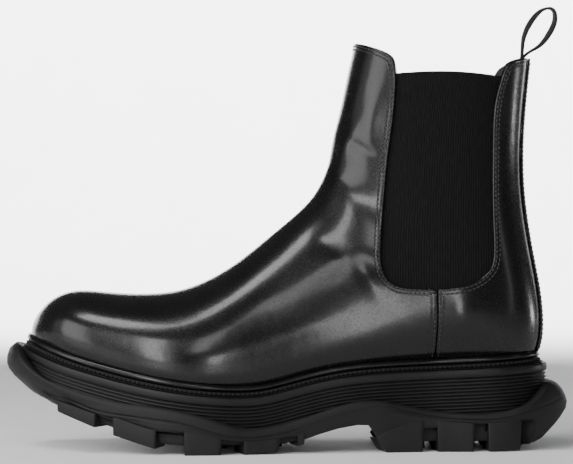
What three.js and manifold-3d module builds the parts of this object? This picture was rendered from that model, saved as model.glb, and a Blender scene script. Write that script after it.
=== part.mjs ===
// Chelsea boot for the left foot, in millimetres: toe towards -X, outer side towards -Y, up +Z.
// The origin is on the ground, under the middle of the outsole.
import * as THREE from 'three';
import { mergeVertices } from 'three/addons/utils/BufferGeometryUtils.js';
import Module from 'manifold-3d';

const wasm = await Module();
wasm.setup();

// ---- driving dimensions ----------------------------------------------------------------------

const SOLE_LENGTH = 320; // outsole, toe bumper to heel kick
const FRONT_HEIGHT = 229.5; // ground to the top of the front collar
const BALL_WIDTH = 100; // upper, across the ball of the foot

const LEATHER = 1.8; // vamp and quarters
const BACKING = 1.0; // elastic, toe puff, heel counter and interlining
const LINING = 1.0;
const STRAP_LEATHER = 1.2;
const STRAP_WIDTH = 17;
const GAP = 0.3; // between pieces that touch

const LASTED_DEPTH = 5.6; // feather line down to the underside of the lasted upper
const LASTING_MARGIN = 14; // leather turned under the insole board
const BOARD = 2;
const FOOTBED = 3.5;
const HEEL_PAD = 1.6;
const HEEL_PAD_LENGTH = 58;
const HEEL_PAD_WIDTH = 38;
const SHANK_LENGTH = 100;
const SHANK_WIDTH = 12;
const SHANK_THICKNESS = 1.2;

const RAND_REACH = 2.2; // how far each strip stands out from the feather line
const RAND_HEIGHT = 2.8;
const WELT_REACH = 4.6;
const WELT_HEIGHT = LASTED_DEPTH - RAND_HEIGHT - GAP; // it fills the rest of the lasted depth
const MIDSOLE_REACH = 6.5;
const SKIRT_REACH = 10;
const STRIP_TUCK = 8; // how far rand and welt may reach in under the upper
const LUG_HEIGHT = 5;
const TREAD_CHANNEL = 9; // width of the two long grooves between the lugs

const GORE_OVERLAP = 6; // elastic hidden behind the leather round its window
const LOOP_WIDTH = 8;
const LOOP_RIBBON = 1.2;
const LOOP_TAIL = 24; // ribbon sewn in below the topline
const LOOP_KNUCKLE = 1.6; // radius that the folded ribbon turns on

// ---- grading: the patterns below are drawn for one size and scaled to the driving dimensions --

const PATTERN_LENGTH = 320;
const PATTERN_HEIGHT = 229.5;
const PATTERN_BALL = 100;
const ANKLE_HEIGHT = 100; // the shaft is lengthened above this height only

const lengthGrade = SOLE_LENGTH / PATTERN_LENGTH;
const widthGrade = BALL_WIDTH / PATTERN_BALL;
const shaftGrade = (FRONT_HEIGHT - ANKLE_HEIGHT) / (PATTERN_HEIGHT - ANKLE_HEIGHT);

function gradeHeight(z) {
  return z <= ANKLE_HEIGHT ? z : ANKLE_HEIGHT + (z - ANKLE_HEIGHT) * shaftGrade;
}

function graded(points) {
  return points.map(([x, z]) => [x * lengthGrade, gradeHeight(z)]);
}

// ---- curves ----------------------------------------------------------------------------------

// Natural cubic spline through (knots, values), carried on straight past both ends.
function cubicSpline(knots, values) {
  const last = knots.length - 1;
  const bend = new Array(last + 1).fill(0);
  const load = new Array(last + 1).fill(0);
  for (let i = 1; i < last; i += 1) {
    const span = knots[i + 1] - knots[i - 1];
    const share = (knots[i] - knots[i - 1]) / span;
    const pivot = share * bend[i - 1] + 2;
    const rise = (values[i + 1] - values[i]) / (knots[i + 1] - knots[i]);
    const riseBefore = (values[i] - values[i - 1]) / (knots[i] - knots[i - 1]);
    bend[i] = (share - 1) / pivot;
    load[i] = ((6 * (rise - riseBefore)) / span - share * load[i - 1]) / pivot;
  }
  bend[last] = 0;
  for (let i = last - 1; i >= 0; i -= 1) {
    bend[i] = bend[i] * bend[i + 1] + load[i];
  }
  return (at) => {
    let i = 0;
    while (i < last - 1 && at > knots[i + 1]) i += 1;
    const span = knots[i + 1] - knots[i];
    const chord = (values[i + 1] - values[i]) / span;
    if (at < knots[0]) return values[0] + (at - knots[0]) * (chord - (bend[1] * span) / 6);
    if (at > knots[last]) {
      return values[last] + (at - knots[last]) * (chord + (bend[last - 1] * span) / 6);
    }
    const a = (knots[i + 1] - at) / span;
    const b = (at - knots[i]) / span;
    const curl = (a * a * a - a) * bend[i] + (b * b * b - b) * bend[i + 1];
    return a * values[i] + b * values[i + 1] + (curl * span * span) / 6;
  };
}

function curveThrough(points) {
  return cubicSpline(points.map((p) => p[0]), points.map((p) => p[1]));
}

// Feather line: where the upper meets the sole, seen from the side.
const feather = curveThrough(graded([
  [-155, 68.5], [-131, 57.5], [-99, 47.6], [-65, 40.5], [-30, 37.1], [-16, 37.5],
  [5, 42], [34, 47.9], [60, 50], [112, 52.3], [155, 56],
]));

const sockBottom = (x) => feather(x) - LASTED_DEPTH;

// Underside of the midsole, inside the cup of the outsole.
const cupFloor = curveThrough(graded([
  [-154, 48], [-130, 31.5], [-107, 21.5], [-80, 13.5], [-57, 11], [-10, 11],
  [12, 14], [35, 20], [55, 20], [85, 17], [125, 17], [154, 28],
]));

// ---- the lasted shape ------------------------------------------------------------------------

// Ribs of the upper from toe to topline. Each is a straight line in side view, from front to back.
// Bottom ribs name only where they meet the sole. half is the width to the outer and the inner side,
// shift moves the section to the inner side, widest is how far from back to front the widest place
// lies, and round gives the exponents of the section's front and back half.
const RIBS = [
  { front: [-146, 65], back: [-146, 65], half: [0, 0], shift: 8, widest: 0.45, round: [2.1, 2.3] },
  { front: [-143, 74.6], back: [-143.3, 56.6], half: [16, 16], shift: 7.8, widest: 0.45, round: [2.1, 2.4] },
  { front: [-137.2, 81.6], sole: -136.5, half: [27, 26.5], shift: 7.5, widest: 0.42, round: [2.1, 2.8] },
  { front: [-124.7, 88.2], sole: -123, half: [38.5, 36.5], shift: 6.5, widest: 0.38, round: [2.15, 3.4] },
  { front: [-102, 88.2], sole: -100, half: [47, 43], shift: 4.5, widest: 0.33, round: [2.15, 4] },
  { front: [-78, 87.5], sole: -77, half: [52, 46], shift: 2, widest: 0.3, round: [2.1, 4.4] },
  { front: [-56.9, 90.6], sole: -55, half: [53.5, 46.5], shift: 0, widest: 0.28, round: [2, 4.6] },
  { front: [-33, 102], sole: -33, half: [51.5, 43.5], shift: 0, widest: 0.27, round: [1.95, 4.6] },
  { front: [-14.8, 115.7], sole: -10, half: [47, 39.5], shift: 0, widest: 0.28, round: [1.9, 4.4] },
  { front: [1.7, 129.3], sole: 16, half: [42.5, 37], shift: 0, widest: 0.3, round: [1.9, 4.2] },
  { front: [14.5, 142], sole: 50, half: [39, 36], shift: 0, widest: 0.33, round: [1.95, 3.8] },
  { front: [22.2, 156.7], sole: 96, half: [37, 35.5], shift: 0, widest: 0.37, round: [2, 3] },
  { front: [25.2, 168.5], sole: 136.5, half: [36, 35], shift: 0, widest: 0.4, round: [2, 2.4] },
  { front: [26.6, 176], back: [143, 57.5], half: [35.3, 34.5], shift: 0, widest: 0.43, round: [2.05, 2.25] },
  { front: [28.3, 183], back: [144.4, 78], half: [34.8, 34], shift: 0, widest: 0.45, round: [2.1, 2.2] },
  { front: [31, 194], back: [139.7, 107], half: [34, 33.3], shift: 0, widest: 0.47, round: [2.2, 2.3] },
  { front: [34.5, 211], back: [133.6, 152], half: [34, 33.5], shift: 0, widest: 0.48, round: [2.3, 2.3] },
  { front: [38.2, 228], back: [134.9, 197], half: [36.5, 36], shift: 0, widest: 0.49, round: [2.4, 2.4] },
  { front: [40.5, 243], back: [139.2, 236], half: [38.5, 38], shift: 0, widest: 0.5, round: [2.4, 2.4] },
];

const ringCount = 22;
const ringSides = 20;
const TIP_CROWDING = 0.55; // how strongly the rings crowd together at the toe tip

// Values of one rib in a row: front x and z, back x and z, both half widths, shift, widest, exponents.
function ribValues(rib) {
  const [front] = graded([rib.front]);
  const [back] = graded([rib.back ?? [rib.sole, 0]]);
  if (!rib.back) back[1] = sockBottom(back[0]);
  const half = rib.half.map((w) => w * widthGrade);
  return [...front, ...back, ...half, rib.shift * widthGrade, rib.widest, ...rib.round];
}

// The first ribs mirrored through the toe tip, so that the surface runs smoothly over it.
function mirroredRib([fx, fz, bx, bz, outer, inner, shift, widest, roundFront, roundBack]) {
  return [bx, bz, fx, fz, -outer, -inner, shift, widest, roundFront, roundBack];
}

function lastShape() {
  const rows = RIBS.map(ribValues);
  const knots = [0];
  for (let i = 1; i < rows.length; i += 1) {
    const front = Math.hypot(rows[i][0] - rows[i - 1][0], rows[i][1] - rows[i - 1][1]);
    const back = Math.hypot(rows[i][2] - rows[i - 1][2], rows[i][3] - rows[i - 1][3]);
    knots.push(knots[i - 1] + (front + back) / 2);
  }
  const end = knots[knots.length - 1];
  const allRows = [mirroredRib(rows[2]), mirroredRib(rows[1]), ...rows];
  const allKnots = [-knots[2], -knots[1], ...knots];
  const curves = rows[0].map((_, column) => cubicSpline(allKnots, allRows.map((row) => row[column])));
  return { end, at: (s) => curves.map((curve) => curve(s)) };
}

const last = lastShape();

// Point of the upper's outer surface: s runs from toe tip to above the topline, angle is 0 at the
// front, a quarter turn at the outer side and half a turn at the back. Both halves of a section are
// superellipses that meet at the widest place.
function surfacePoint(s, angle) {
  const [fx, fz, bx, bz, outer, inner, shift, widest, roundFront, roundBack] = last.at(s);
  const cos = Math.cos(angle);
  const sin = Math.sin(angle);
  const power = cos > 0 ? roundFront : roundBack;
  const radius = (Math.abs(cos) ** power + Math.abs(sin) ** power) ** (-1 / power);
  const along = widest + radius * cos * (cos > 0 ? 1 - widest : widest);
  const half = sin > 0 ? outer : inner;
  return new THREE.Vector3(
    bx + (fx - bx) * along,
    shift - half * radius * sin,
    bz + (fz - bz) * along,
  );
}

function surfaceNormal(s, angle) {
  const step = 0.02;
  const alongS = surfacePoint(s + step, angle).sub(surfacePoint(s - step, angle));
  const alongAngle = surfacePoint(s, angle + step).sub(surfacePoint(s, angle - step));
  return alongAngle.cross(alongS).normalize();
}

// Rings crowd together at the toe tip, where the surface turns fastest.
function ringPosition(ring) {
  const share = ring / ringCount;
  const pull = (TIP_CROWDING * Math.sin(Math.PI * share)) / Math.PI;
  return last.end * (share - pull * (1 - share));
}

// Closed body inside the upper's surface, the given depth under it; a negative depth is outside it.
function core(depth) {
  const tip = surfacePoint(0, 0);
  const points = [tip.x + depth, tip.y, tip.z];
  for (let ring = 1; ring <= ringCount; ring += 1) {
    const s = ringPosition(ring);
    for (let side = 0; side < ringSides; side += 1) {
      const angle = (2 * Math.PI * (side + 0.5)) / ringSides;
      const point = surfacePoint(s, angle).addScaledVector(surfaceNormal(s, angle), -depth);
      points.push(point.x, point.y, point.z);
    }
  }
  const [fx, fz, bx, bz] = last.at(last.end);
  points.push((fx + bx) / 2, 0, (fz + bz) / 2);
  const triangles = [];
  const at = (ring, side) => 1 + (ring - 1) * ringSides + (side % ringSides);
  const topCentre = 1 + ringCount * ringSides;
  for (let side = 0; side < ringSides; side += 1) {
    triangles.push(0, at(1, side + 1), at(1, side));
    for (let ring = 1; ring < ringCount; ring += 1) {
      triangles.push(at(ring, side), at(ring, side + 1), at(ring + 1, side));
      triangles.push(at(ring, side + 1), at(ring + 1, side + 1), at(ring + 1, side));
    }
    triangles.push(topCentre, at(ringCount, side), at(ringCount, side + 1));
  }
  return manifoldOf(new Float32Array(points), new Uint32Array(triangles));
}

function layer(outerDepth, innerDepth) {
  return core(outerDepth).subtract(core(innerDepth));
}

// ---- solids from geometry --------------------------------------------------------------------

function manifoldOf(vertProperties, triVerts) {
  return new wasm.Manifold(new wasm.Mesh({ numProp: 3, vertProperties, triVerts }));
}

function solidOf(geometry) {
  geometry.deleteAttribute('normal');
  geometry.deleteAttribute('uv');
  const merged = mergeVertices(geometry, 1e-4);
  return manifoldOf(merged.attributes.position.array, new Uint32Array(merged.index.array));
}

function shapeOf(points) {
  return new THREE.Shape(points.map(([a, b]) => new THREE.Vector2(a, b)));
}

const BEYOND = 200; // past the boot on every side

// Side-view outline carried across the boot, between two y values.
function sidePrism(points, yLow = -BEYOND, yHigh = BEYOND) {
  const settings = { depth: yHigh - yLow, bevelEnabled: false };
  const geometry = new THREE.ExtrudeGeometry(shapeOf(points), settings);
  geometry.rotateX(Math.PI / 2).translate(0, yHigh, 0);
  return solidOf(geometry);
}

// Plan outline carried straight up and down.
function planPrism(points) {
  const settings = { depth: 2 * BEYOND, bevelEnabled: false };
  const geometry = new THREE.ExtrudeGeometry(shapeOf(points), settings);
  geometry.translate(0, 0, -BEYOND);
  return solidOf(geometry);
}

// Everything between two heights that follow curves along the boot.
function band(low, high) {
  const steps = 20;
  const reach = SOLE_LENGTH / 2 + SKIRT_REACH;
  const stations = Array.from({ length: steps + 1 }, (_, i) => reach * ((2 * i) / steps - 1));
  const lowSide = stations.map((x) => [x, low(x)]);
  const highSide = stations.map((x) => [x, high(x)]).reverse();
  return sidePrism([...lowSide, ...highSide]);
}

// ---- outlines in plan ------------------------------------------------------------------------

// Both side faces of the upper at a place seen from the side: the rib through that place is found by
// halving, and its section gives the two y values.
function sideFaces(x, z) {
  let low = 0;
  let high = last.end;
  for (let turn = 0; turn < 40; turn += 1) {
    const middle = (low + high) / 2;
    const [fx, fz, bx, bz] = last.at(middle);
    const beyond = (fx - bx) * (z - bz) - (fz - bz) * (x - bx) < 0;
    if (beyond) low = middle;
    else high = middle;
  }
  const [fx, fz, bx, bz, outer, inner, shift, widest, roundFront, roundBack] = last.at(low);
  const length = Math.hypot(fx - bx, fz - bz);
  const along = ((x - bx) * (fx - bx) + (z - bz) * (fz - bz)) / (length * length);
  const power = along > widest ? roundFront : roundBack;
  const away = Math.abs(along - widest) / (along > widest ? 1 - widest : widest);
  const width = Math.max(0, 1 - away ** power) ** (1 / power);
  return [shift - outer * width, shift + inner * width];
}

// Plan of the upper along its feather line, from the toe tip round the outer side to the heel and
// back along the inner side.
function featherOutline() {
  const stepsPerSide = 18;
  const toe = RIBS[0].front[0] * lengthGrade;
  const heel = heelEnd();
  const outerSide = [];
  const innerSide = [];
  for (let step = 0; step <= stepsPerSide; step += 1) {
    const x = (toe + heel) / 2 - ((heel - toe) / 2) * Math.cos((Math.PI * step) / stepsPerSide);
    const [outer, inner] = sideFaces(x, feather(x));
    outerSide.push([x, outer]);
    innerSide.push([x, inner]);
  }
  const middle = innerSide.slice(1, -1).reverse();
  return [...outerSide, ...middle];
}

// Where the feather line leaves the back of the upper.
function heelEnd() {
  let low = 130 * lengthGrade;
  let high = 150 * lengthGrade;
  for (let turn = 0; turn < 40; turn += 1) {
    const x = (low + high) / 2;
    const [outer, inner] = sideFaces(x, feather(x));
    if (inner - outer > 1e-6) low = x;
    else high = x;
  }
  return low;
}

// Outline moved outwards by a distance along its own normals.
function offsetOutline(points, distance) {
  return points.map((point, i) => {
    const before = points[(i + points.length - 1) % points.length];
    const after = points[(i + 1) % points.length];
    const alongX = after[0] - before[0];
    const alongY = after[1] - before[1];
    const length = Math.hypot(alongX, alongY);
    return [point[0] + (distance * alongY) / length, point[1] - (distance * alongX) / length];
  });
}

const featherPlan = featherOutline();

// The outsole's plan: the skirt offset, lengthened to the full sole length.
function outsolePlan() {
  const skirt = offsetOutline(featherPlan, SKIRT_REACH);
  const xs = skirt.map((p) => p[0]);
  const low = Math.min(...xs);
  const high = Math.max(...xs);
  return skirt.map(([x, y]) => [((x - low) / (high - low) - 0.5) * SOLE_LENGTH, y]);
}

// ---- side-view patterns of the upper ---------------------------------------------------------

// Seam between vamp and quarter, from the elastic down to the sole.
const SIDE_SEAM = graded([[84.1, 90.6], [84.4, 76], [83.6, 60], [82, 30]]);

// Front edge of the elastic's window from its lower middle up to the topline, then the front collar.
const WINDOW_FRONT = graded([
  [84.1, 90.6], [69.6, 91.3], [62.7, 92.4], [57.6, 95.2], [54.4, 99.7], [52.9, 106],
  [52.9, 117.5], [54.8, 146], [56.8, 167], [59.4, 186.6], [60.7, 203.8],
]);
const FRONT_COLLAR = graded([
  [60.7, 211.2], [60, 216.2], [58.6, 220.1], [55, 222.9], [45.5, 226.9], [38.9, 229.5], [20, 236],
]);

// Rear edge of the window and the rear collar, the same way.
const WINDOW_REAR = graded([
  [84.1, 90.6], [95.5, 92], [104, 94.1], [110.5, 98], [114.7, 103], [116.2, 110.2],
  [116.1, 124.4], [115.9, 173], [117.7, 197.3], [120.2, 206.3],
]);
const REAR_COLLAR = graded([[122.5, 212.8], [125.1, 216.6], [131.5, 219.5], [138, 221.4], [170, 229]]);

// Upper edge of the elastic.
const ELASTIC_TOP = graded([
  [50, 210.8], [60.7, 211.2], [80, 212], [100, 211.6], [116.4, 210.1], [140, 207.5],
]);

const farForward = -BEYOND * lengthGrade;
const farBack = BEYOND * lengthGrade;
const below = -60;
const above = 400;

function vampPattern() {
  const seam = [...SIDE_SEAM].reverse().map(([x, z]) => [x - GAP / 2, z]);
  const edge = WINDOW_FRONT.slice(1);
  const collarTop = FRONT_COLLAR[FRONT_COLLAR.length - 1][1];
  return [
    [farForward, below], [seam[0][0], below], ...seam, ...edge, ...FRONT_COLLAR,
    [farForward, collarTop],
  ];
}

function quarterPattern() {
  const seam = SIDE_SEAM.map(([x, z]) => [x + GAP / 2, z]);
  const edge = [...WINDOW_REAR.slice(1), ...REAR_COLLAR].reverse();
  const collarTop = REAR_COLLAR[REAR_COLLAR.length - 1][1];
  return [
    ...seam, [seam[seam.length - 1][0], below], [farBack, below], [farBack, collarTop], ...edge,
  ];
}

// The elastic's blank reaches past its window on the sides and below.
function gorePattern(overlap) {
  const window = [...[...WINDOW_FRONT].reverse(), ...WINDOW_REAR.slice(1)];
  const first = window[0];
  const end = window[window.length - 1];
  const lift = 30;
  const lean = 7.5;
  return offsetOutline(
    [[first[0], first[1] + lift], ...window, [end[0] + lean, end[1] + lift]],
    overlap,
  );
}

function belowElasticTop() {
  return [...ELASTIC_TOP, [farBack, ELASTIC_TOP.at(-1)[1]], [farBack, below], [farForward, below],
    [farForward, ELASTIC_TOP[0][1]]];
}

const PUFF_EDGE = -92 * lengthGrade;

// Heel counter, seen from the side; its wings stay below the elastic.
const COUNTER_PATTERN = graded([
  [90, -60], [90, 60], [100, 71], [117, 78], [127, 96], [200, 99], [200, -60],
]);

// ---- the upper -------------------------------------------------------------------------------

const backingDepth = LEATHER + GAP;
const liningDepth = backingDepth + BACKING + GAP;
const wall = liningDepth + LINING;

const leatherLayer = layer(0, LEATHER);
const backingLayer = layer(backingDepth, backingDepth + BACKING);
const liningLayer = layer(liningDepth, wall);

// Open middle of the underside, inside the lasting margin.
const marginHole = planPrism(offsetOutline(featherPlan, -LASTING_MARGIN)).intersect(
  band((x) => sockBottom(x) - 10, (x) => sockBottom(x) + wall + GAP / 2),
);

const outerHalf = sidePrism(
  [[farForward, below], [farBack, below], [farBack, above], [farForward, above]],
  -BEYOND,
  -GAP / 2,
);
const innerHalf = outerHalf.mirror([0, 1, 0]);

function vamp() {
  return leatherLayer.intersect(sidePrism(vampPattern())).subtract(marginHole);
}

function quarter(halfSpace) {
  return leatherLayer.intersect(sidePrism(quarterPattern())).subtract(marginHole).intersect(halfSpace);
}

function gore(halfSpace) {
  return backingLayer
    .intersect(sidePrism(gorePattern(GORE_OVERLAP)))
    .intersect(sidePrism(belowElasticTop()))
    .intersect(halfSpace);
}

function backStrap() {
  const foot = feather(150 * lengthGrade) + GAP;
  const top = REAR_COLLAR.slice(1);
  const outline = [[top[0][0], foot], [farBack, foot], [farBack, top.at(-1)[1]], ...[...top].reverse()];
  return layer(-GAP - STRAP_LEATHER, -GAP).intersect(sidePrism(outline, -STRAP_WIDTH / 2, STRAP_WIDTH / 2));
}

function toePuff() {
  const outline = [[farForward, below], [PUFF_EDGE, below], [PUFF_EDGE, above], [farForward, above]];
  return backingLayer.intersect(sidePrism(outline)).subtract(marginHole);
}

function heelCounter() {
  return backingLayer.intersect(sidePrism(COUNTER_PATTERN)).subtract(marginHole);
}

function vampInterlining() {
  const start = PUFF_EDGE + GAP;
  const behindPuff = sidePrism([[start, below], [farBack, below], [farBack, above], [start, above]]);
  return backingLayer
    .intersect(sidePrism(vampPattern()))
    .intersect(behindPuff)
    .subtract(sidePrism(gorePattern(GORE_OVERLAP + GAP)))
    .subtract(marginHole);
}

function lining(pattern) {
  return liningLayer.intersect(sidePrism(pattern)).subtract(marginHole);
}

// ---- inside the boot -------------------------------------------------------------------------

const innerRoom = core(wall + GAP);
const boardBase = wall + GAP;
const boardTop = boardBase + BOARD;
const footbedBase = boardTop + GAP;

const HEEL_PAD_FRONT = 68 * lengthGrade;

function insoleBoard() {
  return innerRoom.intersect(band((x) => sockBottom(x) + boardBase, (x) => sockBottom(x) + boardTop));
}

function heelPadPlan(clearance) {
  const halfLength = HEEL_PAD_LENGTH / 2;
  const halfWidth = HEEL_PAD_WIDTH / 2;
  const points = new THREE.EllipseCurve(
    HEEL_PAD_FRONT + halfLength, 0, halfLength + clearance, halfWidth + clearance,
  ).getPoints(20).slice(0, -1).map((p) => [p.x, p.y]);
  return planPrism(points);
}

function heelPad() {
  return heelPadPlan(0).intersect(innerRoom).intersect(
    band((x) => sockBottom(x) + footbedBase, (x) => sockBottom(x) + footbedBase + HEEL_PAD),
  );
}

function footbed() {
  const slab = innerRoom.intersect(
    band((x) => sockBottom(x) + footbedBase, (x) => sockBottom(x) + footbedBase + FOOTBED),
  );
  const recess = heelPadPlan(GAP).intersect(
    band((x) => sockBottom(x), (x) => sockBottom(x) + footbedBase + HEEL_PAD + GAP),
  );
  return slab.subtract(recess);
}

const SHANK_START = -30 * lengthGrade;
const SHANK_BASE = 1.6; // cork left under the shank

function shankBlank(clearance, low, high) {
  const half = SHANK_WIDTH / 2 + clearance;
  const outline = [
    [SHANK_START - clearance, -half], [SHANK_START + SHANK_LENGTH + clearance, -half],
    [SHANK_START + SHANK_LENGTH + clearance, half], [SHANK_START - clearance, half],
  ];
  return planPrism(outline).intersect(band((x) => sockBottom(x) + low, (x) => sockBottom(x) + high));
}

function shank() {
  return shankBlank(0, SHANK_BASE, SHANK_BASE + SHANK_THICKNESS);
}

function bottomFiller() {
  const blank = planPrism(offsetOutline(featherPlan, -LASTING_MARGIN - GAP)).intersect(
    band(sockBottom, (x) => sockBottom(x) + wall),
  );
  return blank.subtract(shankBlank(GAP, SHANK_BASE - GAP, wall + GAP));
}

// ---- the sole --------------------------------------------------------------------------------

const clearOfUpper = core(-GAP);

function soleStrip(reach, top, height) {
  return planPrism(offsetOutline(featherPlan, reach))
    .subtract(planPrism(offsetOutline(featherPlan, -STRIP_TUCK)))
    .intersect(band((x) => feather(x) - top - height, (x) => feather(x) - top))
    .subtract(clearOfUpper);
}

function rand() {
  return soleStrip(RAND_REACH, 0, RAND_HEIGHT);
}

function welt() {
  return soleStrip(WELT_REACH, RAND_HEIGHT + GAP, WELT_HEIGHT);
}

const midsoleTop = (x) => sockBottom(x) - GAP;

function midsole() {
  return planPrism(offsetOutline(featherPlan, MIDSOLE_REACH))
    .intersect(band(cupFloor, midsoleTop))
    .subtract(clearOfUpper);
}

// One tread bar in side view, from its front edge to its rear edge.
function lug(frontX, frontZ, rearX, rearZ) {
  return [[frontX, frontZ + LUG_HEIGHT], [frontX, frontZ], [rearX, rearZ], [rearX, rearZ + LUG_HEIGHT]];
}

// Ground side of the outsole from the toe bumper to the heel kick.
const GROUND_SIDE = [
  [-160, 47.3], [-156, 39.9], [-149, 34.2], [-142, 29.4], [-135, 26.6],
  ...lug(-130.4, 21.4, -106.7, 14),
  ...lug(-95.4, 10.1, -73.5, 3.2),
  ...lug(-55.9, 0, -36.4, 0),
  ...lug(-22.8, 0, -5, 0),
  [9, 6], [19.3, 10.6], [29.8, 13.7], [46.1, 15.5], [51.8, 8.1],
  ...lug(56, 0, 75, 0),
  ...lug(84.6, 0, 104, 0),
  ...lug(113, 0, 130, 0),
  [139.7, 2.4], [147.6, 7.9], [153.7, 14.4], [158.5, 21], [160, 24.6],
];

// Wavy upper edge of the outsole's skirt, heel to toe.
const SKIRT_EDGE = [
  [158.9, 29.7], [153.7, 37.4], [149.7, 38.2], [141.4, 29.1], [131.9, 24.8], [118, 22], [100, 21.6],
  [75, 24.4], [59.2, 27.7], [44, 29.1], [33.4, 27.3], [16.5, 22], [-2, 16.4], [-20.3, 14.8],
  [-30, 16.6], [-45.4, 21.2], [-65.4, 25.4], [-97, 29.1], [-115, 33.5], [-130, 38], [-146, 50.4],
  [-150.6, 57], [-152.6, 63.3], [-155.6, 60.9], [-158.2, 57], [-159.7, 52.6],
];

const CHANNEL_SPREAD = 17; // from the middle to each long groove under the forefoot
const FOREFOOT_GROUND = [-58, -2];
const HEEL_GROUND = [50, 131];

// Two long grooves under the forefoot and the heel split the tread bars into blocks.
function treadChannels() {
  const spread = CHANNEL_SPREAD * widthGrade;
  const groove = (y, [from, to]) => sidePrism(
    graded([[from, below], [to, below], [to, LUG_HEIGHT], [from, LUG_HEIGHT]]),
    y - TREAD_CHANNEL / 2,
    y + TREAD_CHANNEL / 2,
  );
  const front = groove(-spread, FOREFOOT_GROUND).add(groove(spread, FOREFOOT_GROUND));
  const rear = groove(-spread / 2, HEEL_GROUND).add(groove((spread + TREAD_CHANNEL) / 2, HEEL_GROUND));
  return front.add(rear);
}

function outsole() {
  const pocket = planPrism(offsetOutline(featherPlan, MIDSOLE_REACH + GAP)).intersect(
    band((x) => cupFloor(x) - GAP, () => BEYOND),
  );
  return planPrism(outsolePlan())
    .intersect(sidePrism(graded([...GROUND_SIDE, ...SKIRT_EDGE])))
    .subtract(pocket)
    .subtract(treadChannels());
}

// ---- pull loop -------------------------------------------------------------------------------

const [[loopX, loopTopline]] = graded([[134.2, 220.4]]);
const COLLAR_FOLD = 1.2; // what the turned collar edge adds above the topline
const LOOP_REACH_IN = 12; // in front of the pivot, nothing of the sewn ribbon
const loopPivot = [loopX, loopTopline + LOOP_KNUCKLE + GAP + COLLAR_FOLD];

// Middle line of the ribbon from its sewn root round the loop, relative to the pivot.
const LOOP_PATH = [
  [0, 0], [9, 4.4], [15.8, 12.6], [18.6, 22], [17.6, 25.8], [13.6, 26.4], [8, 22.5], [3.6, 16], [0.9, 8.5],
];

function pullLoop() {
  const path = new THREE.CatmullRomCurve3(
    LOOP_PATH.map(([x, z]) => new THREE.Vector3(loopPivot[0] + x, 0, loopPivot[1] + z)),
    true,
    'centripetal',
  );
  const middle = path.getSpacedPoints(30).slice(0, -1).map((p) => [p.x, p.z]);
  const half = LOOP_RIBBON / 2;
  const ribbon = sidePrism(offsetOutline(middle, half), -LOOP_WIDTH / 2, LOOP_WIDTH / 2)
    .subtract(sidePrism(offsetOutline(middle, -half), -LOOP_WIDTH, LOOP_WIDTH));
  const knuckle = new THREE.CylinderGeometry(LOOP_KNUCKLE, LOOP_KNUCKLE, LOOP_WIDTH, 16);
  knuckle.translate(loopPivot[0], 0, loopPivot[1]);
  return ribbon.add(solidOf(knuckle));
}

// Sewn-in end of the ribbon, between the leather and the lining at the back seam.
function pullLoopTail() {
  const top = loopPivot[1] - LOOP_KNUCKLE - GAP;
  const foot = loopTopline - LOOP_TAIL;
  const inFront = loopX - LOOP_REACH_IN;
  const outline = [[inFront, foot], [farBack, foot], [farBack, top], [inFront, top]];
  return backingLayer.intersect(sidePrism(outline, -LOOP_WIDTH / 2, LOOP_WIDTH / 2));
}

// ---- assembly --------------------------------------------------------------------------------

const FINISHES = {
  polishedLeather: new THREE.MeshStandardMaterial({ color: 0x0d0d0e, roughness: 0.22, metalness: 0 }),
  elastic: new THREE.MeshStandardMaterial({ color: 0x1c1c1d, roughness: 0.9, metalness: 0 }),
  ribbon: new THREE.MeshStandardMaterial({ color: 0x151516, roughness: 0.8, metalness: 0 }),
  liningLeather: new THREE.MeshStandardMaterial({ color: 0x1b1a1a, roughness: 0.6, metalness: 0 }),
  stiffener: new THREE.MeshStandardMaterial({ color: 0xb9b2a4, roughness: 0.9, metalness: 0 }),
  fabric: new THREE.MeshStandardMaterial({ color: 0x8d8a84, roughness: 0.95, metalness: 0 }),
  board: new THREE.MeshStandardMaterial({ color: 0xa98f6b, roughness: 0.9, metalness: 0 }),
  cork: new THREE.MeshStandardMaterial({ color: 0x9a7448, roughness: 0.95, metalness: 0 }),
  foam: new THREE.MeshStandardMaterial({ color: 0x3a3a3c, roughness: 0.95, metalness: 0 }),
  steel: new THREE.MeshStandardMaterial({ color: 0x8e9297, roughness: 0.4, metalness: 1 }),
  rubber: new THREE.MeshStandardMaterial({ color: 0x232324, roughness: 0.55, metalness: 0 }),
};

// The whole boot is moved so that the outsole's plan is centred on the origin.
function middleOfSole() {
  const ys = outsolePlan().map((p) => p[1]);
  return (Math.min(...ys) + Math.max(...ys)) / 2;
}

const boot = new THREE.Group();
boot.position.y = -middleOfSole();

function addPiece(name, manifold, finish) {
  const { vertProperties, triVerts } = manifold.getMesh();
  const geometry = new THREE.BufferGeometry();
  geometry.setAttribute('position', new THREE.BufferAttribute(new Float32Array(vertProperties), 3));
  geometry.setIndex(new THREE.BufferAttribute(new Uint32Array(triVerts), 1));
  const mesh = new THREE.Mesh(geometry, FINISHES[finish].clone());
  mesh.name = name;
  boot.add(mesh);
}

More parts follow.
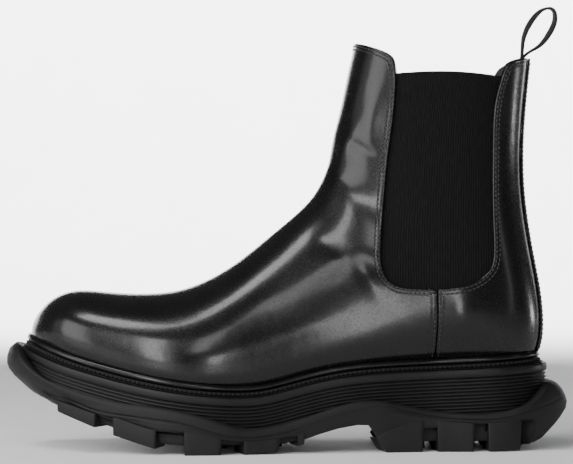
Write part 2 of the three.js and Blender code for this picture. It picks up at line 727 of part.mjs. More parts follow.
addPiece('vamp', vamp(), 'polishedLeather');
addPiece('quarter_outer', quarter(outerHalf), 'polishedLeather');
addPiece('quarter_inner', quarter(innerHalf), 'polishedLeather');
addPiece('back_strap', backStrap(), 'polishedLeather');
addPiece('gore_outer', gore(outerHalf), 'elastic');
addPiece('gore_inner', gore(innerHalf), 'elastic');
addPiece('toe_puff', toePuff(), 'stiffener');
addPiece('heel_counter', heelCounter(), 'stiffener');
addPiece('vamp_interlining', vampInterlining(), 'fabric');
addPiece('vamp_lining', lining(vampPattern()), 'liningLeather');
addPiece('quarter_lining', lining(quarterPattern()), 'liningLeather');
addPiece('insole_board', insoleBoard(), 'board');
addPiece('heel_pad', heelPad(), 'foam');
addPiece('footbed', footbed(), 'liningLeather');
addPiece('shank', shank(), 'steel');
addPiece('bottom_filler', bottomFiller(), 'cork');
addPiece('rand', rand(), 'rubber');
addPiece('welt', welt(), 'rubber');
addPiece('midsole', midsole(), 'rubber');
addPiece('outsole', outsole(), 'rubber');
addPiece('pull_loop', pullLoop(), 'ribbon');
addPiece('pull_loop_tail', pullLoopTail(), 'ribbon');

export default boot;
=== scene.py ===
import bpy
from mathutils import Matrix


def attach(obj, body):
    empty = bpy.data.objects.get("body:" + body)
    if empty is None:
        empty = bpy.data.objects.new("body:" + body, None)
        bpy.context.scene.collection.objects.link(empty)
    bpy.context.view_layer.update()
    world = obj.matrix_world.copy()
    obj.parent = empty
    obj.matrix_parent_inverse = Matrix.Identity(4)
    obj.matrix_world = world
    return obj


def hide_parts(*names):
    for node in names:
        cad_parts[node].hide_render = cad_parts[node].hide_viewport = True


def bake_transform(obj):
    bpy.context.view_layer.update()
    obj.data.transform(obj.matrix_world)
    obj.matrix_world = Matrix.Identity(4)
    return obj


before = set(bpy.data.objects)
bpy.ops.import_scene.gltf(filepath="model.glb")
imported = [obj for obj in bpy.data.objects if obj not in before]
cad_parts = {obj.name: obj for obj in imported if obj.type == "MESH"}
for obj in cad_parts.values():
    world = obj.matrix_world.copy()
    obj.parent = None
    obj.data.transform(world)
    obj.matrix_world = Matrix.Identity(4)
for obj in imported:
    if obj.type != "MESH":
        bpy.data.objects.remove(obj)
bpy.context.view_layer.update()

import bpy
import numpy as np
from bpy.props import FloatProperty, FloatVectorProperty, PointerProperty
from bpy.types import Operator, Panel, PropertyGroup
from mathutils import Matrix

bl_info = {
    "name": "Chelsea boot",
    "version": (1, 0, 0),
    "blender": (4, 5, 0),
    "location": "3D View > Sidebar > Boot",
    "description": "Builds a polished leather chelsea boot on a grooved, lugged sole",
    "category": "Add Mesh",
}

MM = 0.001
TAU = 2 * np.pi
OUTER, INNER = -1, 1  # sides of the left boot: outer is -Y

# ---- curves ----------------------------------------------------------------------------------


def spline(knots, values):
    """Natural cubic spline through (knots, values): the second slopes at the knots solve the usual
    three-term equations, and past both ends the curve runs straight on. values may have columns."""
    knots = np.asarray(knots, float)
    values = np.asarray(values, float)
    flat = values.reshape(len(knots), -1)
    span = np.diff(knots)
    count = len(knots)
    matrix = np.eye(count)
    load = np.zeros_like(flat)
    rise = np.diff(flat, axis=0) / span[:, None]
    for i in range(1, count - 1):
        matrix[i, i - 1 : i + 2] = span[i - 1], 2 * (span[i - 1] + span[i]), span[i]
        load[i] = 6 * (rise[i] - rise[i - 1])
    bend = np.linalg.solve(matrix, load)
    start_slope = rise[0] - bend[1] * span[0] / 6
    end_slope = rise[-1] + bend[-2] * span[-1] / 6

    def curve(at):
        at = np.asarray(at, float)
        inside = np.clip(at, knots[0], knots[-1])
        i = np.clip(np.searchsorted(knots, inside) - 1, 0, count - 2)
        h = span[i][..., None]
        a = (knots[i + 1] - inside)[..., None] / h
        b = (inside - knots[i])[..., None] / h
        value = a * flat[i] + b * flat[i + 1]
        value = value + ((a**3 - a) * bend[i] + (b**3 - b) * bend[i + 1]) * h * h / 6
        value = value + np.minimum(at - knots[0], 0)[..., None] * start_slope
        value = value + np.maximum(at - knots[-1], 0)[..., None] * end_slope
        return value[..., 0] if values.ndim == 1 else value

    return curve


def curve_through(points):
    points = np.array(points, float)
    return spline(points[:, 0], points[:, 1])


def chord_lengths(points):
    """Length along a polyline up to each of its points."""
    return np.concatenate([[0], np.cumsum(np.linalg.norm(np.diff(points, axis=0), axis=1))])


def read_along(at, chord, values):
    """Rows of values kept at some lengths along a line, read at other lengths."""
    return np.stack([np.interp(at, chord, column) for column in values.T], axis=-1)


def smooth_line(points, step=1.2):
    """Points every step millimetres along a spline through the given ones, by chord length."""
    points = np.array(points, float)
    chord = chord_lengths(points)
    count = max(int(chord[-1] / step), 2)
    return spline(chord, points)(np.linspace(0, chord[-1], count + 1))


def resample(points, step, closed=False):
    """The same polyline with its points evenly spaced, about step apart."""
    if closed:
        points = np.vstack([points, points[:1]])
    chord = chord_lengths(points)
    count = max(int(round(chord[-1] / step)), 2)
    even = read_along(np.linspace(0, chord[-1], count + 1), chord, points)
    return even[:-1] if closed else even


def unit(vectors):
    return vectors / np.maximum(np.linalg.norm(vectors, axis=-1, keepdims=True), 1e-9)


def ease(value, low, high):
    """0 below low, 1 above high, and a smooth step between."""
    t = np.clip((np.asarray(value, float) - low) / (high - low), 0, 1)
    return t * t * (3 - 2 * t)


# ---- the lasted shape, in millimetres --------------------------------------------------------

LASTED_DEPTH = 5.6

# Where the upper meets the sole, seen from the side.
feather = curve_through([
    (-155, 68.5), (-131, 57.5), (-99, 47.6), (-65, 40.5), (-30, 37.1), (-16, 37.5),
    (5, 42), (34, 47.9), (60, 50), (112, 52.3), (155, 56),
])


def sock_bottom(x):
    return feather(x) - LASTED_DEPTH


def on_sole(x):
    return x, float(sock_bottom(x))


# Ribs from toe to topline, each a straight line in side view: front x and z, back x and z, half
# width to the outer and inner side, shift to the inner side, widest place from back to front, and the
# exponents of the front and back half of the section.
RIBS = np.array([
    (-146, 65, -146, 65, 0, 0, 8, 0.45, 2.1, 2.3),
    (-143, 74.6, -143.3, 56.6, 16, 16, 7.8, 0.45, 2.1, 2.4),
    (-137.2, 81.6, *on_sole(-136.5), 27, 26.5, 7.5, 0.42, 2.1, 2.8),
    (-124.7, 88.2, *on_sole(-123), 38.5, 36.5, 6.5, 0.38, 2.15, 3.4),
    (-102, 88.2, *on_sole(-100), 47, 43, 4.5, 0.33, 2.15, 4),
    (-78, 87.5, *on_sole(-77), 52, 46, 2, 0.3, 2.1, 4.4),
    (-56.9, 90.6, *on_sole(-55), 53.5, 46.5, 0, 0.28, 2, 4.6),
    (-33, 102, *on_sole(-33), 51.5, 43.5, 0, 0.27, 1.95, 4.6),
    (-14.8, 115.7, *on_sole(-10), 47, 39.5, 0, 0.28, 1.9, 4.4),
    (1.7, 129.3, *on_sole(16), 42.5, 37, 0, 0.3, 1.9, 4.2),
    (14.5, 142, *on_sole(50), 39, 36, 0, 0.33, 1.95, 3.8),
    (22.2, 156.7, *on_sole(96), 37, 35.5, 0, 0.37, 2, 3),
    (25.2, 168.5, *on_sole(136.5), 36, 35, 0, 0.4, 2, 2.4),
    (26.6, 176, 143, 57.5, 35.3, 34.5, 0, 0.43, 2.05, 2.25),
    (28.3, 183, 144.4, 78, 34.8, 34, 0, 0.45, 2.1, 2.2),
    (31, 194, 139.7, 107, 34, 33.3, 0, 0.47, 2.2, 2.3),
    (34.5, 211, 133.6, 152, 34, 33.5, 0, 0.48, 2.3, 2.3),
    (38.2, 228, 134.9, 197, 36.5, 36, 0, 0.49, 2.4, 2.4),
    (40.5, 243, 139.2, 236, 38.5, 38, 0, 0.5, 2.4, 2.4),
])


def last_shape():
    """Spline of the ribs over the mean distance between them. The first two ribs are mirrored through
    the toe tip, front for back and with negative widths, so that the surface is smooth over it."""
    front = np.linalg.norm(np.diff(RIBS[:, 0:2], axis=0), axis=1)
    back = np.linalg.norm(np.diff(RIBS[:, 2:4], axis=0), axis=1)
    knots = np.concatenate([[0], np.cumsum((front + back) / 2)])
    mirrored = RIBS[[2, 1]][:, [2, 3, 0, 1, *range(4, 10)]]
    mirrored[:, 4:6] *= -1
    all_knots = np.concatenate([[-knots[2], -knots[1]], knots])
    return knots[-1], spline(all_knots, np.vstack([mirrored, RIBS]))


LAST_END, rib_at = last_shape()


def bare_surface(s, angle):
    """Point of the upper at rib s and angle round its section, 0 at the front and a quarter turn at the
    outer side. Each half section is a superellipse: radius = (|cos|^n + |sin|^n)^(-1/n)."""
    row = rib_at(s)
    fx, fz, bx, bz, outer, inner, shift, widest, round_front, round_back = np.moveaxis(row, -1, 0)
    cos, sin = np.cos(angle), np.sin(angle)
    power = np.where(cos > 0, round_front, round_back)
    radius = (np.abs(cos) ** power + np.abs(sin) ** power) ** (-1 / power)
    along = widest + radius * cos * np.where(cos > 0, 1 - widest, widest)
    half = np.where(sin > 0, outer, inner)
    y = shift - half * radius * sin
    return np.stack([bx + (fx - bx) * along, y, bz + (fz - bz) * along], axis=-1)


def tangents(s, angle):
    """Central differences of the surface along s and along the angle."""
    step_s, step_a = 0.05, 0.004
    along_s = (bare_surface(s + step_s, angle) - bare_surface(s - step_s, angle)) / (2 * step_s)
    along_a = (bare_surface(s, angle + step_a) - bare_surface(s, angle - step_a)) / (2 * step_a)
    return along_s, along_a


def surface_normal(s, angle):
    along_s, along_a = tangents(s, angle)
    return unit(np.cross(along_a, along_s))


# Soft folds of the leather: centre x, centre z, length, width, direction in degrees, height.
FOLDS = (
    (34, 172, 13, 3.6, 62, 0.75),
    (41, 170, 11, 3.2, -35, -0.55),
    (47, 184, 16, 4.5, 80, 0.6),
    (27, 160, 12, 4.0, 75, -0.5),
    (32, 112, 17, 5.5, -18, -0.9),
    (22, 104, 20, 6.0, 28, 0.55),
    (44, 99, 12, 5.0, -60, 0.6),
    (0, 78, 30, 9.0, 12, -0.45),
    (98, 74, 8, 13.0, 0, 0.9),
    (118, 60, 8, 10.0, 0, -0.5),
)


def fold_height(points):
    """Sum of soft ridges: each is height * exp(-(u/length)^2 - (v/width)^2) in side view."""
    height = np.zeros(points.shape[:-1])
    for x, z, length, width, turn, tall in FOLDS:
        cos, sin = np.cos(np.radians(turn)), np.sin(np.radians(turn))
        u = (points[..., 0] - x) * cos + (points[..., 2] - z) * sin
        v = (points[..., 2] - z) * cos - (points[..., 0] - x) * sin
        height = height + tall * np.exp(-((u / length) ** 2) - (v / width) ** 2)
    return height


def surface(s, angle, depth=0.0):
    """Point the given depth under the upper's outer face, folds included."""
    points = bare_surface(s, angle)
    lift = fold_height(points) - depth
    return points + surface_normal(s, angle) * np.asarray(lift)[..., None]


def side_place(x, z, side):
    """Rib and angle of the surface point seen at (x, z) from one side: the rib by halving on which side
    of it the point lies, the angle from the superellipse |c|^n + |d|^n = 1."""
    x, z = np.broadcast_arrays(np.asarray(x, float), np.asarray(z, float))
    low, high = np.zeros(x.shape), np.full(x.shape, LAST_END)
    for _ in range(34):
        middle = (low + high) / 2
        row = rib_at(middle)
        fx, fz, bx, bz = np.moveaxis(row[..., :4], -1, 0)
        beyond = (fx - bx) * (z - bz) - (fz - bz) * (x - bx) < 0
        low = np.where(beyond, middle, low)
        high = np.where(beyond, high, middle)
    row = rib_at(low)
    fx, fz, bx, bz, _, _, _, widest, round_front, round_back = np.moveaxis(row, -1, 0)
    along = ((x - bx) * (fx - bx) + (z - bz) * (fz - bz)) / ((fx - bx) ** 2 + (fz - bz) ** 2)
    ahead = along > widest
    power = np.where(ahead, round_front, round_back)
    cos = np.clip((along - widest) / np.where(ahead, 1 - widest, widest), -1, 1)
    sin = (1 - np.abs(cos) ** power) ** (1 / power)
    return low, np.arctan2(-side * sin, cos) % TAU


def side_face(x, z, side):
    s, angle = side_place(x, z, side)
    return bare_surface(s, angle)[..., 1]


# ---- side-view patterns ----------------------------------------------------------------------

SIDE_SEAM = [(84.1, 90.6), (84.4, 76), (83.6, 60), (82, 30)]
WINDOW_FRONT = [
    (84.1, 90.6), (69.6, 91.3), (62.7, 92.4), (57.6, 95.2), (54.4, 99.7), (52.9, 106),
    (52.9, 117.5), (54.8, 146), (56.8, 167), (59.4, 186.6), (60.7, 203.8), (60.7, 211.2),
    (60, 216.2), (58.6, 220.1), (55, 222.9), (45.5, 226.9), (38.9, 229.5), (20, 236),
]
WINDOW_REAR = [
    (84.1, 90.6), (95.5, 92), (104, 94.1), (110.5, 98), (114.7, 103), (116.2, 110.2),
    (116.1, 124.4), (115.9, 173), (117.7, 197.3), (120.2, 206.3), (122.5, 212.8), (125.1, 216.6),
    (131.5, 219.5), (138, 221.4), (170, 229),
]
ELASTIC_TOP = curve_through([
    (40, 210.4), (60.7, 211.2), (80, 212), (100, 211.6), (116.4, 210.1), (140, 207.5),
])
FAR = 220
SEAM_FOOT = 82


def sole_cut(first, last, below):
    """Lower edge of a pattern, a little under the feather line so that the sole strips cover it."""
    xs = np.linspace(first, last, 60)
    return np.stack([xs, feather(xs) - below], axis=1)


def vamp_pattern(below=4.0, seam_gap=0.15):
    seam = smooth_line(SIDE_SEAM)[::-1] - (seam_gap, 0)
    edge = smooth_line(WINDOW_FRONT)
    seam = seam[seam[:, 1] > feather(SEAM_FOOT) - below]
    return np.vstack([sole_cut(-FAR, SEAM_FOOT, below), seam[:-1], edge, [(-FAR, edge[-1, 1])]])


def quarter_pattern(below=4.0, seam_gap=0.15):
    seam = smooth_line(SIDE_SEAM) + (seam_gap, 0)
    seam = seam[seam[:, 1] > feather(SEAM_FOOT) - below]
    edge = smooth_line(WINDOW_REAR)[::-1]
    return np.vstack([seam, sole_cut(SEAM_FOOT + 0.3, FAR, below), [(FAR, edge[0, 1])], edge[:-1]])


def signed_distance(points, outline):
    """Distance from side-view points to a closed outline, positive inside it."""
    x, z = points[..., 0].ravel(), points[..., -1].ravel()
    nearest = np.full(x.shape, np.inf)
    inside = np.zeros(x.shape, bool)
    after = np.roll(outline, -1, axis=0)
    for (x0, z0), (x1, z1) in zip(outline, after):
        dx, dz = x1 - x0, z1 - z0
        length = max(dx * dx + dz * dz, 1e-12)
        t = np.clip(((x - x0) * dx + (z - z0) * dz) / length, 0, 1)
        nearest = np.minimum(nearest, (x0 + t * dx - x) ** 2 + (z0 + t * dz - z) ** 2)
        if abs(dz) > 1e-12:
            crosses = ((z0 > z) != (z1 > z)) & (x < (z - z0) / dz * dx + x0)
            inside ^= crosses
    distance = np.sqrt(nearest)
    return np.where(inside, distance, -distance).reshape(points.shape[:-1])


# ---- meshes ----------------------------------------------------------------------------------


def sole_middle():
    """Y of the middle of the outsole, which the whole boot is centred on."""
    skirt = outline_points(SKIRT_REACH)
    return (skirt[:, 1].min() + skirt[:, 1].max()) / 2


def make_piece(name, points, faces, finish, body="root", replaces=(), edge=None, uv=None):
    """Mesh object from points in millimetres and lists of face arrays, on its body and with its finish.
    edge is a distance kept on each point, uv a place kept on each point, both for the material."""
    mesh = bpy.data.meshes.new(name)
    placed = (np.asarray(points, float) - (0, MIDDLE, 0)) * MM
    indices = [face for group in faces for face in np.asarray(group).tolist()]
    mesh.from_pydata(placed.tolist(), [], indices)
    mesh.polygons.foreach_set("use_smooth", np.ones(len(mesh.polygons), bool))
    if edge is not None:
        mesh.attributes.new("edge", "FLOAT", "POINT").data.foreach_set("value", np.asarray(edge, np.float32))
    if uv is not None:
        layer = mesh.uv_layers.new(name="place")
        corner = np.zeros(len(mesh.loops), np.int32)
        mesh.loops.foreach_get("vertex_index", corner)
        layer.data.foreach_set("uv", (np.asarray(uv)[corner] * MM).astype(np.float32).ravel())
    mesh.materials.append(finish_of(finish))
    mesh.update()
    piece = bpy.data.objects.new(name, mesh)
    bpy.context.scene.collection.objects.link(piece)
    if body:
        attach(piece, body)
    if replaces:
        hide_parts(*replaces)
    return piece


def grid_faces(rows, columns, wrap_rows=False, wrap_columns=False):
    """Quads of a grid of points numbered row by row, closed on itself where asked. Their normal is the
    step to the next column crossed with the step to the next row."""
    r = np.arange(rows if wrap_rows else rows - 1)
    c = np.arange(columns if wrap_columns else columns - 1)
    r, c = np.meshgrid(r, c, indexing="ij")
    r2, c2 = (r + 1) % rows, (c + 1) % columns
    quads = np.stack([r * columns + c, r * columns + c2, r2 * columns + c2, r2 * columns + c], axis=-1)
    return quads.reshape(-1, 4)


def turned(quads):
    """The same quads facing the other way."""
    return quads[:, [0, 3, 2, 1]]


def sheet_faces(rows, columns):
    """Faces of a closed sheet between two grids of one size, numbered one after the other: the first
    grid's, the second's, and a wall round the edge."""
    count = rows * columns
    index = np.arange(count).reshape(rows, columns)
    ring = np.concatenate([index[0, :-1], index[:-1, -1], index[-1, :0:-1], index[:0:-1, 0]])
    after = np.roll(ring, -1)
    wall = np.stack([ring + count, after + count, after, ring], axis=1)
    front = grid_faces(rows, columns)
    return np.vstack([front, turned(front) + count, wall])


def joined(parts):
    """Points and face groups of several parts as one; each part is its points and then its groups."""
    points, groups, start = [], [], 0
    for part_points, *part_groups in parts:
        points.append(part_points)
        groups.extend(group + start for group in part_groups)
        start += len(part_points)
    return np.vstack(points), groups


# ---- panels cut from the lasted shape --------------------------------------------------------


class Upper:
    """The lasted shape as a grid of (s, angle) points and triangles, at one fineness."""

    def __init__(self, ribs, sides):
        s = LAST_END * (np.arange(1, ribs + 1) / ribs)
        angle = TAU * np.arange(sides) / sides
        s_grid, a_grid = np.meshgrid(s, angle, indexing="ij")
        self.s = np.concatenate([[0.0], s_grid.ravel()])
        self.angle = np.concatenate([[0.0], a_grid.ravel()])
        quads = grid_faces(ribs, sides, wrap_columns=True) + 1
        ring = np.arange(sides) + 1
        caps = np.stack([np.zeros(sides, int), np.roll(ring, -1), ring], axis=1)
        self.triangles = np.vstack([caps, quads[:, [0, 1, 2]], quads[:, [0, 2, 3]]])

    def stretched(self, field_at):
        """A side-view distance turned into a distance along the surface: divided by its slope there."""
        field, _, _, slope = uphill(field_at, self.s, self.angle)
        return field / np.clip(slope, LEAST_SLOPE, 1.0)

    def cut(self, field):
        """Triangles where field is positive, with those on its edge split at field = 0. Returns s, angle,
        the field, the triangles and the ordered edge loops."""
        s, angle = self.s, self.angle
        inside = field > 0
        corners = inside[self.triangles]
        count = corners.sum(axis=1)
        whole = self.triangles[count == 3]
        split = (count == 1) | (count == 2)
        new_s, new_angle = [], []
        split_faces = []
        edge_index = {}

        def crossing(i, j):
            key = (i, j) if i < j else (j, i)
            if key not in edge_index:
                t = field[key[0]] / (field[key[0]] - field[key[1]])
                turn = (angle[key[1]] - angle[key[0]] + np.pi) % TAU - np.pi
                edge_index[key] = len(s) + len(new_s)
                new_s.append(s[key[0]] + t * (s[key[1]] - s[key[0]]))
                new_angle.append(angle[key[0]] + t * turn)
            return edge_index[key]

        for triangle, kept in zip(self.triangles[split], corners[split]):
            turn = int(np.argmax(kept)) if kept.sum() == 1 else int(np.argmin(kept))
            a, b, c = np.roll(triangle, -turn).tolist()
            ab, ac = crossing(a, b), crossing(a, c)
            if kept.sum() == 1:
                split_faces.append((a, ab, ac))
            else:
                split_faces.append((ab, b, c))
                split_faces.append((ab, c, ac))
        triangles = np.vstack([whole, np.array(split_faces, int).reshape(-1, 3)])
        used, renumbered = np.unique(triangles, return_inverse=True)
        triangles = renumbered.reshape(-1, 3)
        all_s = np.concatenate([s, new_s])[used]
        all_angle = np.concatenate([angle, new_angle])[used]
        all_field = np.concatenate([field, np.zeros(len(new_s))])[used]
        return all_s, all_angle, all_field, triangles, edge_loops(triangles)


LEAST_SLOPE = 0.35


def uphill(field_at, s, angle):
    """The field at points of the surface, the steps in s and angle for one millimetre uphill there, and
    the slope: the gradient comes from the field's own steps and the surface's two tangents."""
    step_s, step_a = 0.3, 0.01
    field = field_at(bare_surface(s, angle))
    field_s = (field_at(bare_surface(s + step_s, angle)) - field) / step_s
    field_a = (field_at(bare_surface(s, angle + step_a)) - field) / step_a
    along_s, along_a = tangents(s, angle)
    ss, sa, aa = ((a * b).sum(-1) for a, b in ((along_s, along_s), (along_s, along_a), (along_a, along_a)))
    det = np.maximum(ss * aa - sa * sa, 1e-9)
    up_s = (field_s * aa - field_a * sa) / det
    up_a = (field_a * ss - field_s * sa) / det
    slope = np.sqrt(np.maximum(up_s * field_s + up_a * field_a, 1e-12))
    return field, up_s / slope, up_a / slope, slope


def edge_loops(triangles):
    """Ordered rings of points along the open edges, each running with its triangles' own direction."""
    edges = np.vstack([triangles[:, [0, 1]], triangles[:, [1, 2]], triangles[:, [2, 0]]])
    keys = edges.min(axis=1).astype(np.int64) * (edges.max() + 1) + edges.max(axis=1)
    _, first, counts = np.unique(keys, return_index=True, return_counts=True)
    follow = dict(edges[first[counts == 1]].tolist())
    loops = []
    while follow:
        start = next(iter(follow))
        loop = [start]
        at = follow.pop(start)
        while at != start:
            loop.append(at)
            at = follow.pop(at)
        loops.append(np.array(loop))
    return loops


def panel(upper, field_at, rim, thickness, depth=0.0):
    """Closed piece of sheet on the lasted shape. It is cut rim millimetres inside its pattern, then rows
    are added along the cut edge that round it over: row k goes out rim*sin(b) and down rim*(1-cos(b)).
    thickness is a number or a function of the points. Returns points, faces and the edge distance."""
    field = upper.stretched(field_at) - rim
    s, angle, from_edge, triangles, loops = upper.cut(field)
    outer = surface(s, angle, depth)
    thick = thickness(outer) if callable(thickness) else np.full(len(s), float(thickness))
    inner = surface(s, angle, depth + thick)
    points = [outer, inner]
    edges = [from_edge + rim, from_edge + rim]
    faces = [triangles, triangles[:, ::-1] + len(s)]
    start = 2 * len(s)
    for loop in loops:
        ls, la = s[loop], angle[loop]
        _, up_s, up_a, _ = uphill(field_at, ls, la)
        rows = [loop]
        turns = np.radians([25, 50, 75, 90])
        steps = [(rim * np.sin(b), rim * (1 - np.cos(b)), 0.0) for b in turns]
        steps += [(rim, rim, 0.55), (rim * 0.85, rim, 0.9)]
        for out, down, share in steps:
            drop = down + (thick[loop] - down) * share
            points.append(surface(ls - up_s * out, la - up_a * out, depth + drop))
            edges.append(np.full(len(loop), rim - out))
            rows.append(start + np.arange(len(loop)))
            start += len(loop)
        rows.append(loop + len(s))
        for near, far in zip(rows[:-1], rows[1:]):
            near2, far2 = np.roll(near, -1), np.roll(far, -1)
            faces.append(np.stack([near2, near, far, far2], axis=1))
    return np.vstack(points), faces, np.concatenate(edges)


def contour(upper, field_at, distance):
    """Lines on the surface at a distance inside a pattern, as lists of (s, angle)."""
    field = upper.stretched(field_at) - distance
    s, angle, _, _, loops = upper.cut(field)
    return [(s[loop], angle[loop]) for loop in loops]


# ---- stitches --------------------------------------------------------------------------------


def stitch_shape(length, radius):
    """One stitch: a capsule along x of five rings and two tips, radius * (1 - u^4)^(1/2) at share u."""
    rings, sides = 5, 6
    u = np.linspace(-0.92, 0.92, rings)
    size = radius * np.sqrt(1 - u**4)
    turn = TAU * np.arange(sides) / sides
    ring = np.stack([np.broadcast_to(u[:, None] * length / 2, (rings, sides)),
                     size[:, None] * np.cos(turn), size[:, None] * np.sin(turn)], axis=-1)
    points = np.vstack([ring.reshape(-1, 3), [(-length / 2, 0, 0)], [(length / 2, 0, 0)]])
    quads = grid_faces(rings, sides, wrap_columns=True)
    k = np.arange(sides)
    after = np.roll(k, -1)
    start = np.stack([np.full(sides, len(points) - 2), after, k], axis=1)
    end_row = (rings - 1) * sides
    end = np.stack([np.full(sides, len(points) - 1), end_row + k, end_row + after], axis=1)
    return points, quads, np.vstack([start, end])


def stitch_row(path, normals, pitch=2.7, length=2.1, radius=0.38, sink=0.05):
    """Stitches at even distances along a path, each turned to its own piece of it."""
    chord = chord_lengths(path)
    count = int(chord[-1] / pitch)
    if count < 1:
        return np.zeros((0, 3)), np.zeros((0, 4), int), np.zeros((0, 3), int)
    at = (np.arange(count) + 0.5) * chord[-1] / count
    centre = read_along(at, chord, path)
    along = unit(read_along(at + length / 2, chord, path) - read_along(at - length / 2, chord, path))
    up = unit(read_along(at, chord, normals))
    across = unit(np.cross(up, along))
    up = np.cross(along, across)
    shape, quads, tips = stitch_shape(length, radius)
    centre = centre + up * (radius - sink - radius * 0.6)
    points = (centre[:, None] + shape[None, :, 0:1] * along[:, None]
              + shape[None, :, 1:2] * across[:, None] + shape[None, :, 2:3] * up[:, None])
    offset = (np.arange(count) * len(shape))[:, None, None]
    return points.reshape(-1, 3), (quads[None] + offset).reshape(-1, 4), (tips[None] + offset).reshape(-1, 3)


def stitch_piece(name, rows, finish="waxed_thread"):
    return make_piece(name, *joined(rows), finish)


# ---- the sole's outline ----------------------------------------------------------------------

RAND_REACH = 2.2
SKIRT_REACH = 10.0
SOLE_LENGTH = 320.0


def feather_path(step=1.4):
    """Closed line round the upper at the feather line, evenly spaced: toe, outer side, heel, inner side.
    The ends are found where the two side faces of the upper meet."""
    toe, heel = RIBS[0, 0], heel_end()
    share = np.linspace(0, np.pi, 160)
    x = (toe + heel) / 2 - (heel - toe) / 2 * np.cos(share)
    outer = np.stack([x, side_face(x, feather(x), OUTER)], axis=1)
    inner = np.stack([x, side_face(x, feather(x), INNER)], axis=1)[-2:0:-1]
    closed = resample(np.vstack([outer, inner]), step, closed=True)
    for _ in range(12):
        closed = (np.roll(closed, 1, axis=0) + 2 * closed + np.roll(closed, -1, axis=0)) / 4
    return np.column_stack([closed, feather(closed[:, 0])])


def heel_end():
    low, high = 130.0, 150.0
    for _ in range(40):
        x = (low + high) / 2
        if side_face(x, feather(x), INNER) - side_face(x, feather(x), OUTER) > 1e-6:
            low = x
        else:
            high = x
    return low


PATH = feather_path()
PATH_AHEAD = unit((np.roll(PATH, -1, axis=0) - np.roll(PATH, 1, axis=0))[:, :2])
PATH_OUT = np.column_stack([PATH_AHEAD[:, 1], -PATH_AHEAD[:, 0]])


def outline_points(reach):
    return PATH[:, :2] + PATH_OUT * np.asarray(reach).reshape(-1, 1)


MIDDLE = sole_middle()


def wall_points(reach, height):
    """Points of a wall round the boot: a row for each path point, a column for each profile point."""
    xy = PATH[:, None, :2] + PATH_OUT[:, None, :] * reach[..., None]
    return np.concatenate([xy, height[..., None]], axis=-1)


def swept(reach, height):
    """Closed band round the boot whose profile closes on itself."""
    points = wall_points(reach, height)
    rows, columns = points.shape[:2]
    return points.reshape(-1, 3), grid_faces(rows, columns, wrap_rows=True, wrap_columns=True)


def strip_profile(outline, top):
    """The same (reach, drop) outline at every path point, hung from a height along the path."""
    outline = np.array(outline, float)
    n = np.broadcast_to(outline[:, 0], (len(PATH), len(outline)))
    return n, np.asarray(top)[:, None] - outline[:, 1]


# ---- materials -------------------------------------------------------------------------------


def linear(hex_colour):
    """sRGB hex to linear red, green, blue and alpha."""
    channels = [int(hex_colour[i : i + 2], 16) / 255 for i in (1, 3, 5)]
    return tuple(c / 12.92 if c <= 0.04045 else ((c + 0.055) / 1.055) ** 2.4 for c in channels) + (1.0,)


def per(size_mm):
    """Texture scale for a pattern that repeats about every size_mm."""
    return 1 / (size_mm * MM)


COORDINATES, MAPPING, ATTRIBUTE = "ShaderNodeTexCoord", "ShaderNodeMapping", "ShaderNodeAttribute"
NOISE, CELLS, WAVE = "ShaderNodeTexNoise", "ShaderNodeTexVoronoi", "ShaderNodeTexWave"
RAMP, RANGE, MATHS, BUMP = "ShaderNodeValToRGB", "ShaderNodeMapRange", "ShaderNodeMath", "ShaderNodeBump"
SHADER, OUTPUT = "ShaderNodeBsdfPrincipled", "ShaderNodeOutputMaterial"
WAVE_TO_MM = TAU / 20  # a wave texture of scale 1 repeats every 20 / TAU units


def node(tree, kind, out=0, settings=None, stops=(), **inputs):
    """Adds a node with its settings and colour-ramp stops. Each input, named with _ for a space or n0, n1
    for its number, is linked when given a socket and set when given a value. Returns one output."""
    made = tree.nodes.new(kind)
    for key, value in (settings or {}).items():
        setattr(made, key, value)
    for element, (position, colour) in zip(made.color_ramp.elements if stops else (), stops):
        element.position, element.color = position, colour if isinstance(colour, tuple) else linear(colour)
    for key, value in inputs.items():
        socket = made.inputs[int(key[1:]) if key in ("n0", "n1") else key.replace("_", " ")]
        if isinstance(value, bpy.types.NodeSocket):
            tree.links.new(value, socket)
        else:
            socket.default_value = value
    return made.outputs[out] if len(made.outputs) else made


def new_material(name):
    material = bpy.data.materials.new(name)
    material.use_nodes = True
    material.node_tree.nodes.clear()
    return material, material.node_tree


